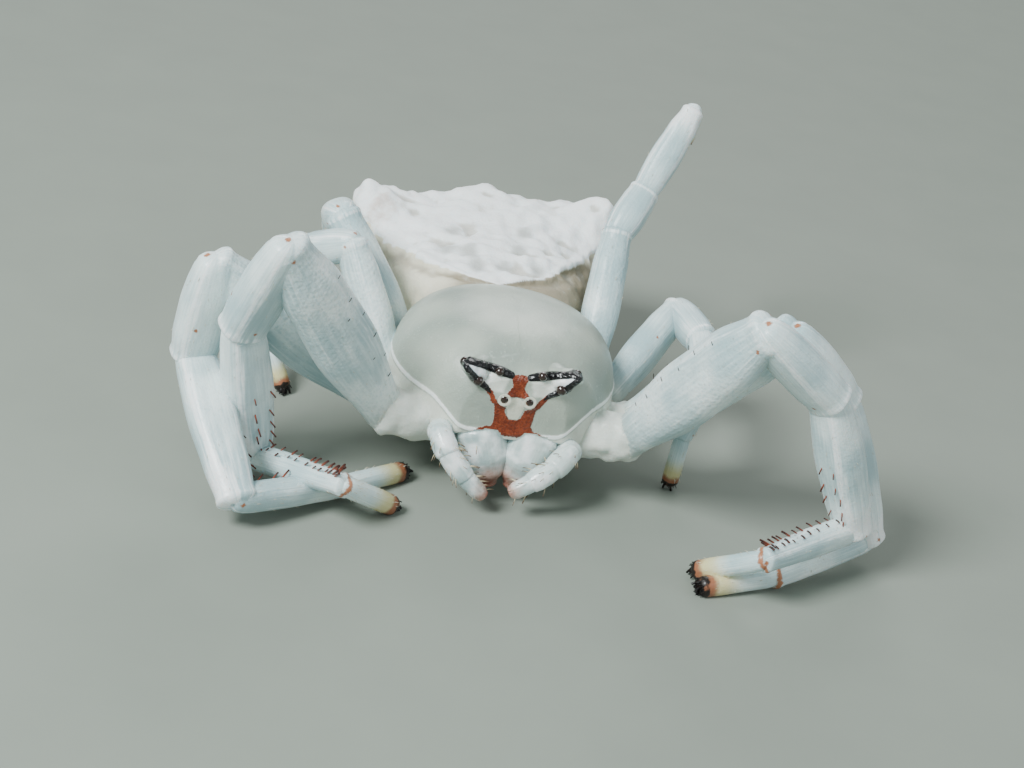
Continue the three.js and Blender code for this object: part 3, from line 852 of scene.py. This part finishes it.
class Nodes:
    """A node tree that is built from code."""

    def __init__(self, tree):
        self.tree = tree

    def node(self, kind, settings=None, values=None, out=0):
        """A new node, its settings and its inputs, by name or in order; gives one of its outputs."""
        made = self.tree.nodes.new(kind)
        for key, value in (settings or {}).items():
            setattr(made, key, value)
        pairs = values.items() if isinstance(values, dict) else enumerate(values or ())
        for key, value in pairs:
            if isinstance(value, Signal):
                self.tree.links.new(value.socket, made.inputs[key])
            else:
                made.inputs[key].default_value = value
        return Signal(self, made.outputs[out])


class Finish(Nodes):
    """One material and its tree."""

    def __init__(self, name):
        self.material = bpy.data.materials.new(name)
        self.material.use_nodes = True
        super().__init__(self.material.node_tree)
        self.tree.nodes.clear()

    def attribute(self, name):
        return self.node("ShaderNodeAttribute", {"attribute_name": name}, out="Fac")

    def millimetres(self):
        spot = self.node("ShaderNodeTexCoord", out="Object")
        return self.node("ShaderNodeVectorMath", {"operation": "SCALE"}, {0: spot, "Scale": 1 / MM})

    def noise(self, scale, detail):
        values = {"Vector": self.millimetres(), "Scale": scale, "Detail": detail, "Roughness": 0.55}
        return self.node("ShaderNodeTexNoise", None, values)

    def fibres(self, fine, drawn_out=1.6):
        """Noise drawn out along a limb piece, from its length and its angle round the axis."""
        parts = [self.attribute("length_mm") * drawn_out]
        parts += [self.attribute(name) * fine for name in ("round_x", "round_y")]
        place = self.node("ShaderNodeCombineXYZ", None, parts)
        return self.node("ShaderNodeTexNoise", None, {"Vector": place, "Scale": 1.0, "Detail": 3.0})

    def mix(self, a, b, factor):
        def full(c):
            return c if isinstance(c, Signal) else (*c, 1)
        return self.node("ShaderNodeMix", {"data_type": "RGBA"}, {0: factor, 6: full(a), 7: full(b)}, out=2)

    def layers(self, colour, coats):
        """Colours laid one over another, each as (hex code or colour, how much of it covers)."""
        for code, cover in coats:
            colour = self.mix(colour, rgb(code) if isinstance(code, str) else code, cover)
        return colour

    def bump(self, height, strength, distance):
        values = {"Height": height, "Strength": strength, "Distance": distance}
        return self.node("ShaderNodeBump", None, values)

    def surface(self, colour, rough, others=None):
        values = {"Base Color": colour, "Roughness": rough, **(others or {})}
        shader = self.node("ShaderNodeBsdfPrincipled", None, values)
        end = self.tree.nodes.new("ShaderNodeOutputMaterial")
        self.tree.links.new(shader.socket, end.inputs["Surface"])
        return self.material


def rgb(code):
    """A colour from its hex code, as the linear numbers that shaders want."""
    parts = [int(code[i:i + 2], 16) / 255 for i in (0, 2, 4)]
    return tuple(v / 12.92 if v <= 0.04045 else ((v + 0.055) / 1.055) ** 2.4 for v in parts)


print("shader helper ready")

# %% [markdown]
# ## The skin's finish
# Waxy, slightly see-through skin: cool blue-white on the limbs, warmer on the body. Light goes a little
# way in, so the shader scatters it under the surface by a fraction of a millimetre.

# %% Skin finish
WAX = {
    "Subsurface Weight": 0.35, "Subsurface Radius": (0.7, 0.9, 1.0), "Subsurface Scale": 0.35 * MM,
    "IOR": 1.42,
}


def skin_finish():
    f = Finish("living_skin")
    cloud, fine, grain = f.noise(0.9, 2.0), f.noise(9.0, 2.0), f.noise(34.0, 1.0)
    blotches, fibres = f.noise(3.2, 2.0), f.fibres(9.0)
    pimples = f.node("ShaderNodeTexVoronoi", {"feature": "F1"}, {"Vector": f.millimetres(), "Scale": 17.0})
    jaw, pimple, fang = (f.attribute(name) for name in ("jaw", "pimple", "fang"))
    uneven = fine - 0.5
    speckle = fine * 0.5 + grain * 0.5

    limb = f.mix(rgb("a6c0c4"), rgb("e2efee"), (cloud * 0.7 + fibres * 0.3).step(0.34, 0.66))
    body = f.mix(rgb("8d988f"), rgb("b0b8ab"), cloud.step(0.28, 0.72))
    body = f.mix(body, rgb("c4cdc6"), speckle.step(0.58, 0.72) * 0.35)
    brim = (f.attribute("brim") + uneven * 0.03 - 0.03).size()
    broken = (fibres - 0.5) * 1.5 * (1 - jaw) + (blotches - 0.5) * 2.4 * jaw + uneven * 0.4
    net = pimples.step(0.30, 0.62) * pimple * cloud.step(0.45, 0.6)
    dots = f.attribute("amber") + (grain - 0.5) * 0.05
    foot = f.attribute("foot") + uneven * 0.12
    colour = f.layers(f.mix(limb, body, f.attribute("tone")), [
        ("e6e8dd", (f.attribute("cream") + uneven * 0.5).step(0.2, 0.9) * 0.8),
        ("fafdfb", brim.step(0.045, 0.020) * 0.9),
        ("f6fafb", (f.attribute("streak") + broken).step(0.25, 0.95) * 0.9),
        ("f2f8f6", net * 0.4),
        ("b3bdae", grain.step(0.60, 0.78) * 0.25),
        ("a35a1c", dots.step(0.012, -0.016) * 0.9),
        ("b2806a", (fang + uneven * 0.6).step(0.15, 0.9) * 0.8),
        ("7d3c2c", (fang + uneven * 0.5).step(0.60, 1.05) * 0.85),
        ("cdbb6e", foot.step(0.40, 0.80) * 0.75),
        ("8f4a30", foot.step(0.82, 0.94) * 0.9),
        ("1a120e", foot.step(0.965, 0.995)),
    ])

    # the face, over the rest: white horns with a painted bluish highlight towards their ends, red mask,
    # pale patch, eye rings and black ridges
    ragged = uneven * 0.050 + (grain - 0.5) * 0.030
    white_with_highlight = f.mix(rgb("dde0d6"), rgb("f2f8ff"), f.attribute("to_horn"))
    brick = f.mix(rgb("64240f"), rgb("8d3f20"), speckle.step(0.34, 0.66))
    red = (f.attribute("red") + ragged).step(0.008, -0.008)
    black = (f.attribute("black") + ragged * 0.3).step(0.008, -0.008)
    colour = f.layers(colour, [
        (white_with_highlight, (f.attribute("between") + ragged).step(0.02, -0.04) * 0.9),
        (brick, red),
        ("cfd0c0", (f.attribute("patch") + ragged).step(0.008, -0.008)),
        ("dcdccb", f.attribute("eye_far").step(0.018, 0.010)),
        ("0b0b0d", black),
    ])
    rough = 0.38 - black * 0.10 + fine * 0.10 - jaw * 0.12 - f.attribute("body") * 0.04
    height = (1 - pimples) * pimple * 0.6 + grain * 0.4 + fine * 0.6 + red * grain * 1.5 + fibres * 0.4
    wet = {"Coat Weight": 0.22 + jaw * 0.35, "Coat Roughness": 0.18}
    return f.surface(colour, rough, {"Normal": f.bump(height, 0.45, 0.03 * MM), **WAX, **wet})


skin_material = skin_finish()
print("skin finish nodes", len(skin_material.node_tree.nodes))

# %% [markdown]
# The abdomen is duller and chalkier: white on the plate and cream on the sides, with painted brown shade
# under the plate's rim, on the front, below and on the side away from the key lamp, painted grey shade in
# the deepest folds, grey-brown in the pits and a brownish patch on one shoulder.

# %% Abdomen finish
def abdomen_finish():
    f = Finish("abdomen_cuticle")
    cloud, fine, grain = f.noise(1.3, 4.0), f.noise(7.0, 4.0), f.noise(30.0, 2.0)
    uneven = fine - 0.5
    brown = f.attribute("brown") + (cloud - 0.5) * 0.5
    colour = f.layers(rgb("e0dac6"), [
        ("f5fafb", (f.attribute("plate") + uneven * 0.5).step(0.2, 0.8)),
        # painted brown shade under the plate's rim, on the front, below and on the side away from the key
        # lamp
        ("786b52", brown.step(0.25, 1.0) * 0.8),
        # painted grey shade in the troughs of the folds and the dips of the plate
        ("b7b3a6", (f.attribute("hollow") + uneven * 0.6).step(0.25, 1.1) * 0.75),
        ("b3917a", (f.attribute("shoulder") + uneven * 0.9).step(0.50, 1.2) * 0.6),
        ("87887f", (f.attribute("pits") + uneven * 0.5).step(0.20, 1.0) * 0.6),
        ("cfcfc8", fine.step(0.58, 0.75) * 0.3),
    ])
    height = grain * 0.4 + fine * 1.2
    return f.surface(colour, 0.50 + fine * 0.16, {"Normal": f.bump(height, 0.45, 0.05 * MM), **WAX})


abdomen_material = abdomen_finish()
print("abdomen finish nodes", len(abdomen_material.node_tree.nodes))

# %% [markdown]
# ## Finished pieces
# A finished mesh is scaled to metres, moved to the frame's place and put on the body, with its object
# left unturned at the origin. It also hides the solids it stands for.

# %% Put a piece in the frame
def finished(mesh, name, material, replaces=(), sharp=None):
    mesh.transform(Matrix.Translation(ORIGIN) @ Matrix.Scale(MM, 4))
    mesh.name = name
    mesh.materials.clear()
    mesh.materials.append(material)
    mesh.shade_smooth()
    if sharp:
        mesh.set_sharp_from_angle(angle=sharp)
    obj = bpy.data.objects.new(name, mesh)
    bpy.context.scene.collection.objects.link(obj)
    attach(obj, "root")
    if replaces:
        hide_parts(*replaces)
    return obj


FLESH = ("leg_", "palp_", "chelicera_", "carapace", "underside_with_coxae")
SHARP = math.radians(38.0)
flesh = [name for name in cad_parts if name.startswith(FLESH)]
finished(skin_mesh, "skin", skin_material, flesh, SHARP)
finished(abdomen_mesh, "abdomen_skin", abdomen_material, ["abdomen", "spinnerets"])
print("skin stands for", len(flesh), "solids")

# %% [markdown]
# ## Eyes
# Spider eyes have no lids or pupils. Each is a clear lens over a dark cup, so a smooth glossy dome with
# a paler brown ring inside the edge is enough. A clear coat gives the wet glint.

# %% Eyes
def eye_finish():
    f = Finish("eye_lens")
    depth, fine = f.attribute("rim"), f.noise(40.0, 2.0)
    colour = f.layers(rgb("24130a"), [
        ("80583a", (depth + (fine - 0.5) * 0.3).step(0.40, 0.80)),
        ("120b08", depth.step(0.86, 0.98)),
    ])
    return f.surface(colour, 0.10 + fine * 0.06, {"Coat Weight": 1.0, "Coat Roughness": 0.03, "IOR": 1.5})


# how much of an eye's width its lens fills, how far it looks sideways and ahead, and its rim's brown
LENS = {
    "anterior_median": (0.95, 0.15, 1.0, 1.0),
    "posterior_median": (0.95, 0.15, 0.6, 0.35),
    "anterior_lateral": (0.82, 0.75, 1.0, 0.35),
    "posterior_lateral": (0.90, 0.75, 0.6, 0.35),
}
eye_material = eye_finish()
for eye, (at, full) in EYES.items():
    fills, sideways, ahead, brown = LENS[eye]
    r = full * fills
    for side, s in (("left", 1), ("right", -1)):
        middle = mirrored(at, s)
        p, faces = ball_skin(middle, r, 32, 20)
        mesh = to_mesh("lens", p, faces)
        look = unit(np.array([s * sideways, -ahead, 0.35]))
        store(mesh, rim=brown * (1 - np.clip((p - middle) @ look / r, 0, 1) ** 2))
        finished(mesh, f"lens_{eye}_{side}", eye_material, [f"eye_{eye}_{side}"])
print("eyes", len(EYES) * 2)

# %% [markdown]
# ## Spines, bristles and claws
# The front limbs carry rows of stout red-brown spines on their inner side, the femora a few dark hairs,
# and the jaws and palps fine pale bristles. One Geometry Nodes tree bends a thin cone and sets it on
# every point of a small cloud, turned to the way that point should face. Points carry their size too.

# %% Bristle tree
# how many sides and rings of points a bristle has
SIDES, RINGS = 5, 5
# on a bristle one unit long: how deep its root sits, where it bows, and how thick its tip stays
ROOT_AT, BOW_AT, TIP = -0.06, 0.55, 0.04
NUMBERS = {"Length": 0.2, "Thickness": 0.012, "Bend": 0.15, "Unevenness": 0.25}


def bristle_tree():
    group = bpy.data.node_groups.new("bristles", "GeometryNodeTree")
    face = group.interface
    face.new_socket("Geometry", in_out="INPUT", socket_type="NodeSocketGeometry")
    for name, value in NUMBERS.items():
        face.new_socket(name, in_out="INPUT", socket_type="NodeSocketFloat").default_value = value
    face.new_socket("Seed", in_out="INPUT", socket_type="NodeSocketInt").default_value = 1
    face.new_socket("Material", in_out="INPUT", socket_type="NodeSocketMaterial")
    face.new_socket("Geometry", in_out="OUTPUT", socket_type="NodeSocketGeometry")
    t = Nodes(group)
    given = {socket.name: Signal(t, socket) for socket in group.nodes.new("NodeGroupInput").outputs}

    def named(name, kind):
        return t.node("GeometryNodeInputNamedAttribute", {"data_type": kind}, {"Name": name})

    # a thin bent cone, one unit long
    end = t.node("ShaderNodeCombineXYZ", None, {"X": given["Bend"], "Z": 1.0})
    bow = {"Resolution": RINGS - 1, "Start": (0, 0, ROOT_AT), "Middle": (0, 0, BOW_AT), "End": end}
    curve = t.node("GeometryNodeCurveQuadraticBezier", None, bow)
    thin = 1 + TIP - t.node("GeometryNodeSplineParameter")
    tapered = t.node("GeometryNodeSetCurveRadius", None, {"Curve": curve, "Radius": thin})
    slim = given["Thickness"] / given["Length"]
    circle = t.node("GeometryNodeCurvePrimitiveCircle", None, {"Resolution": SIDES, "Radius": slim})
    tube = {"Curve": tapered, "Profile Curve": circle, "Fill Caps": True}
    cone = t.node("GeometryNodeCurveToMesh", None, tube)

    # one on every point, pointing along its aim and bending along its lean
    upright = {"Vector": named("aim", "FLOAT_VECTOR")}
    stand = t.node("FunctionNodeAlignRotationToVector", {"axis": "Z"}, upright)
    leaning = {"Rotation": stand, "Vector": named("lean", "FLOAT_VECTOR")}
    turn = t.node("FunctionNodeAlignRotationToVector", {"axis": "X", "pivot_axis": "Z"}, leaning)
    limits = {2: 1.0 - given["Unevenness"], 3: 1.0 + given["Unevenness"], "Seed": given["Seed"]}
    chance = t.node("FunctionNodeRandomValue", {"data_type": "FLOAT"}, limits, out=1)
    scale = named("size", "FLOAT") * chance * given["Length"]
    placed = {"Points": given["Geometry"], "Instance": cone, "Rotation": turn, "Scale": scale}
    grown = t.node("GeometryNodeInstanceOnPoints", None, placed)
    real = t.node("GeometryNodeRealizeInstances", None, {"Geometry": grown})
    coat = {"Geometry": real, "Material": given["Material"]}
    painted = t.node("GeometryNodeSetMaterial", None, coat)
    group.links.new(painted.socket, group.nodes.new("NodeGroupOutput").inputs[0])
    return group


bristles = bristle_tree()
print("tree inputs", [s.name for s in bristles.interface.items_tree if s.in_out == "INPUT"])

# %% [markdown]
# A cloud is a list of roots, each with the way it points, the way it bends, its size and its place on an
# unrolled skin. The last gives every bristle its own small patch of a map.

# %% Clouds of roots
# the map has this many cells each way, one for each piece that carries bristles
MAP_CELLS = 8
CELL_EDGE, CELL_FILL = 0.06, 0.85
# a turn of this angle, just over two pi, crosses a cell once
WHOLE_TURN = 6.3
# how wide one bristle's own patch of the map is
BRISTLE_PATCH = 0.003


class Cloud:
    """Bristle roots, each with its aim, its lean, its size and its place on the map."""

    def __init__(self):
        self.roots, self.aims, self.leans, self.sizes, self.maps = [], [], [], [], []

    def add(self, root, aim, lean, size, cell, along, turn):
        self.roots.append(root)
        self.aims.append(unit(aim))
        self.leans.append(unit(lean))
        self.sizes.append(size)
        row, column = divmod(cell % MAP_CELLS ** 2, MAP_CELLS)
        u = (column + CELL_EDGE + CELL_FILL * along) / MAP_CELLS
        v = (row + CELL_EDGE + CELL_FILL * (turn / WHOLE_TURN % 1)) / MAP_CELLS
        self.maps.append((u, v, 0.0))

    def mesh(self, name):
        mesh = bpy.data.meshes.new(name)
        mesh.from_pydata([tuple(p) for p in self.roots], [], [])
        for key, values in (("aim", self.aims), ("lean", self.leans), ("map_place", self.maps)):
            layer = mesh.attributes.new(key, "FLOAT_VECTOR", "POINT")
            layer.data.foreach_set("vector", np.array(values, np.float32).ravel())
        store(mesh, size=self.sizes)
        return mesh


print("map cells", MAP_CELLS ** 2)

# %% [markdown]
# Growing gives the tree its numbers and keeps the result as a plain mesh. Every bristle has the same
# points in the same order, so a point's number tells how near it is to the tip.

# %% Grow bristles
def unroll(made, each):
    """Gives grown bristles their map places and says how near every point is to its bristle's tip."""
    places = np.zeros(len(made.vertices) * 3, np.float32)
    made.attributes["map_place"].data.foreach_get("vector", places)
    places = places.reshape(-1, 3)[:, :2]
    ring, spoke = np.divmod(np.arange(len(made.vertices)) % each, SIDES)
    own = np.stack([spoke / SIDES, ring / (each / SIDES)], -1) * BRISTLE_PATCH
    corner = np.zeros(len(made.loops), int)
    made.loops.foreach_get("vertex_index", corner)
    uv = made.uv_layers.new(name="OFBake")
    uv.data.foreach_set("uv", (places + own)[corner].astype(np.float32).ravel())
    store(made, to_tip=np.clip(ring / max(1, each // SIDES - 1), 0, 1))


def grow(cloud, name, material, numbers, seed):
    """Grows a cloud into one piece. The numbers are length, thickness, bend and unevenness."""
    mesh = cloud.mesh(name + "_roots")
    holder = bpy.data.objects.new(name + "_roots", mesh)
    bpy.context.scene.collection.objects.link(holder)
    modifier = holder.modifiers.new("bristles", "NODES")
    modifier.node_group = bristles
    given = dict(zip(NUMBERS, numbers), Seed=seed, Material=material)
    for item in bristles.interface.items_tree:
        if item.in_out == "INPUT" and item.name in given:
            modifier[item.identifier] = given[item.name]
    graph = bpy.context.evaluated_depsgraph_get()
    grown = holder.evaluated_get(graph)
    made = bpy.data.meshes.new_from_object(grown, preserve_all_data_layers=True, depsgraph=graph)
    holder.modifiers.clear()
    bpy.data.objects.remove(holder)
    bpy.data.meshes.remove(mesh)
    unroll(made, len(made.vertices) // len(cloud.roots))
    for key in ("aim", "lean", "size", "map_place"):
        if key in made.attributes:
            made.attributes.remove(made.attributes[key])
    finished(made, name, material)
    print(name, len(cloud.roots), "bristles,", len(made.polygons), "faces")


print("points in a bristle", SIDES * RINGS)

# %% [markdown]
# Spines are horn, red-brown with a darker tip. Hairs are dark or pale, and the claws nearly black. One
# function makes them all, shading from a root colour to a tip colour.

# %% Bristle finishes
def bristle_finish(name, root, tip, rough=0.35):
    f = Finish(name)
    fine = f.noise(20.0, 2.0)
    colour = f.mix(rgb(root), rgb(tip), (f.attribute("to_tip") + (fine - 0.5) * 0.4).step(0.1, 0.9))
    return f.surface(colour, rough + fine * 0.15, {"IOR": 1.45})


spine_material = bristle_finish("spine_horn", "8a4530", "3c1a12")
hair_material = bristle_finish("dark_hair", "4a3d32", "15100d")
pale_material = bristle_finish("pale_bristle", "d8d8c8", "b8ae98")
jaw_material = bristle_finish("jaw_bristle", "cbbf9f", "5b4532")
claw_material = bristle_finish("claw_horn", "2a1a12", "070606", 0.22)
print("spine finish nodes", len(spine_material.node_tree.nodes))

# %% [markdown]
# Which side of a limb piece is the inner one follows from the bend of the limb: the spines stand in the
# closing angle between tibia and foot, where they hold prey.

# %% Inner side of each piece
SINK = 0.98
# rows of spines: places along the piece, the row's turn to each side, its wobble, size and growth
SPINES = {
    "metatarsus": (
        (0.10, 0.22, 0.33, 0.44, 0.54, 0.63, 0.71, 0.78, 0.84, 0.89, 0.93, 0.96), 0.32, 0.12, 0.75, 0.35,
    ),
    "tibia": ((0.45, 0.58, 0.68, 0.77, 0.85, 0.92), 0.30, 0.1, 0.72, 0.0),
}
# single dark hairs of the front femora: place along the piece and turn from its inner side
HAIRS = (
    (0.20, 3.0), (0.30, 3.2), (0.43, 3.1), (0.55, 3.2), (0.66, 3.0), (0.78, 3.15), (0.35, 2.6), (0.60, 2.5),
)
FINE_HAIRS = {"femur": 70, "patella": 30, "tibia": 60, "metatarsus": 60, "tarsus": 60}


def inner_way(bar):
    """The way across a piece that faces into the bend of its limb."""
    joints = JOINTS[bar.limb]
    steps = [unit(b - a) for a, b in zip(joints, joints[1:])]
    femur, patella, tibia, metatarsus, _ = steps
    toward = {"femur": patella, "patella": -femur, "tibia": metatarsus}.get(bar.kind, -tibia)
    return unit(toward - bar.axis * (toward @ bar.axis))


def root(bar, t, turn):
    """A place on a piece's skin, the way out of it and its angle, at a turn from the inner side."""
    inner = inner_way(bar)
    across = np.cross(bar.axis, inner)
    a = bar.angle_of(inner * math.cos(turn) + across * math.sin(turn))
    return *bar.point(t, a, SINK), a


rng = np.random.default_rng(7)
spines, femur_hairs, fine_hairs = Cloud(), Cloud(), Cloud()
for number, bar in enumerate(bars[:40]):
    front = bar.pair < 3
    if front and bar.kind in SPINES:
        places, beside, wobble, size, growth = SPINES[bar.kind]
        for row in (-beside, beside):
            for t in places:
                p, out, a = root(bar, t + rng.uniform(-0.02, 0.02), row + rng.uniform(-wobble, wobble))
                spines.add(p, out + bar.axis * 1.1, bar.axis, size + growth * t, number, t, a)
    if front and bar.kind == "femur":
        for t, turn in HAIRS:
            p, out, a = root(bar, t, turn)
            femur_hairs.add(p, out + bar.axis * 0.8, bar.axis, 0.8, number, t, a)
    for _ in range(FINE_HAIRS[bar.kind] // (1 if front else 2)):
        t, turn = rng.uniform(0.05, 0.97), rng.uniform(0, 2 * math.pi)
        p, out, a = root(bar, t, turn)
        if p[2] > 0.12:
            fine_hairs.add(p, out + bar.axis * 1.4, bar.axis, rng.uniform(0.6, 1.1), number, t, a)
print("spines", len(spines.roots), "femur hairs", len(femur_hairs.roots), "fine hairs", len(fine_hairs.roots))

# %% [markdown]
# The foot ends in a brush of black hairs round two small hooked claws. The claws are bent cones of the
# same tree, thicker and longer. The jaws and palps get their pale bristles here too, on their front.

# %% Claws and brushes
BRUSH_HAIRS = 110
CLAW_BESIDE, CLAW_ABOVE = 0.045, 0.05
BEARD = {"palp": 15, "jaw": 9}
BEARD_FRONT = -1.55

claws, brushes, jaw_bristles = Cloud(), Cloud(), Cloud()
for number, bar in enumerate(bars[:40]):
    if bar.kind != "tarsus":
        continue
    raised = bar.limb == RAISED
    down = inner_way(bar) if raised else unit(np.array([0, 0, -1.0]) - bar.axis * (-bar.axis[2]))
    across = np.cross(bar.axis, down)
    thick = bar.heights[3]
    tip = bar.b + bar.axis * thick * 0.35
    for s in (-1, 1):
        start = tip + across * CLAW_BESIDE * s - down * CLAW_ABOVE
        hook = bar.axis - down * 0.25 + across * 0.25 * s
        claws.add(start, hook, down, 1.0, number, 0.9, WHOLE_TURN / 2)
    for _ in range(BRUSH_HAIRS):
        turn, wide = rng.uniform(0, 2 * math.pi), rng.uniform(0.2, 1.0)
        out = across * math.cos(turn) + down * math.sin(turn)
        p = bar.b + bar.axis * thick * (0.62 - 0.5 * wide) + out * thick * 0.78 * wide
        aim = bar.axis * 1.0 + out * 0.45 * wide
        if raised or p[2] + aim[2] * 0.1 > 0.015:
            brushes.add(p, aim, down, rng.uniform(0.7, 1.1), number, 0.95, turn)
for number, bar in enumerate(b for b in bars if b.kind in BEARD):
    for _ in range(BEARD[bar.kind]):
        t, turn = rng.uniform(0.1, 1.0), rng.uniform(0, 2 * math.pi)
        p, out = bar.point(t, turn, SINK)
        if p[1] < BEARD_FRONT:
            size = rng.uniform(0.7, 1.2)
            jaw_bristles.add(p, out + bar.axis * 0.7, bar.axis, size, 40 + number, t, turn)

grow(spines, "limb_spines", spine_material, (0.150, 0.015, 0.10, 0.2), 3)
grow(femur_hairs, "femur_hairs", hair_material, (0.110, 0.008, 0.12, 0.2), 4)
grow(fine_hairs, "fine_hairs", pale_material, (0.050, 0.0030, 0.15, 0.3), 5)
grow(jaw_bristles, "jaw_bristles", jaw_material, (0.110, 0.0055, 0.18, 0.3), 6)
grow(brushes, "foot_brushes", claw_material, (0.070, 0.007, 0.25, 0.3), 8)
grow(claws, "claws", claw_material, (0.110, 0.018, 0.55, 0.0), 9)

# %% [markdown]
# ## Floor, light and camera
# The floor is a plain pale sheet. A large soft lamp above left, a weaker one at the right and an even
# pale sky give the soft studio light. The camera stands where the photograph was taken from.

# %% Floor
def floor_finish():
    f = Finish("floor_paper")
    fine = f.noise(0.6, 3.0)
    return f.surface(f.mix(rgb("7f867d"), rgb("878e84"), fine), 0.8 + fine * 0.05)


floor_mesh = bpy.data.meshes.new("floor")
half = 0.6
corners = [(-half, -half, 0), (half, -half, 0), (half, half, 0), (-half, half, 0)]
floor_mesh.from_pydata(corners, [], [(0, 1, 2, 3)])
floor_mesh.materials.append(floor_finish())
floor = bpy.data.objects.new("floor", floor_mesh)
bpy.context.scene.collection.objects.link(floor)
print("floor half width", half, "m")

# %% Light
def lamp(name, spot, size, watts, colour=(1, 1, 1)):
    data = bpy.data.lights.new(name, "AREA")
    data.shape, data.size, data.energy, data.color = "DISK", size, watts, colour
    obj = bpy.data.objects.new(name, data)
    obj.location = spot
    obj.rotation_mode = "QUATERNION"
    obj.rotation_quaternion = (Vector((0, 0, 0.002)) - Vector(spot)).to_track_quat("-Z", "Y")
    bpy.context.scene.collection.objects.link(obj)


lamp("key", (-0.042, -0.030, 0.050), 0.026, 0.088, (0.95, 1.0, 1.0))
lamp("fill", (0.050, -0.030, 0.030), 0.040, 0.010, (0.95, 1.0, 1.0))
lamp("back", (0.010, 0.060, 0.045), 0.040, 0.020)
world = bpy.data.worlds.new("studio")
bpy.context.scene.world = world
world.use_nodes = True
sky = world.node_tree.nodes["Background"].inputs
sky["Color"].default_value = (0.82, 0.90, 0.92, 1)
sky["Strength"].default_value = 0.46

# %% Camera
TURN, RISE, ROLL = -9.49, 26.07, 10.93
AIM, FAR = (0, 0, 1.8), 30.0
FOCAL_PX, AIM_PX = 2010.0, (509.2, 347.7)
WIDE, HIGH = 1024, 768
turn, rise, roll = (math.radians(v) for v in (TURN, RISE, ROLL))
back = Vector((math.sin(turn) * math.cos(rise), -math.cos(turn) * math.cos(rise), math.sin(rise)))
right = Vector((math.cos(turn), math.sin(turn), 0))
upward = back.cross(right)
right_rolled = right * math.cos(roll) + upward * math.sin(roll)
up_rolled = upward * math.cos(roll) - right * math.sin(roll)
lens = bpy.data.cameras.new("camera")
lens.sensor_width = 36
lens.lens = 36 * FOCAL_PX / WIDE
lens.shift_x = (WIDE / 2 - AIM_PX[0]) / WIDE
lens.shift_y = (AIM_PX[1] - HIGH / 2) / WIDE
lens.clip_start, lens.clip_end = 0.001, 5
camera = bpy.data.objects.new("camera", lens)
place = Matrix((right_rolled, up_rolled, back)).transposed().to_4x4()
place.translation = ORIGIN + (Vector(AIM) + back * FAR) * MM
camera.matrix_world = place
bpy.context.scene.collection.objects.link(camera)
bpy.context.scene.camera = camera
print("camera", [round(v / MM, 1) for v in camera.location], "mm, lens", round(lens.lens, 1))
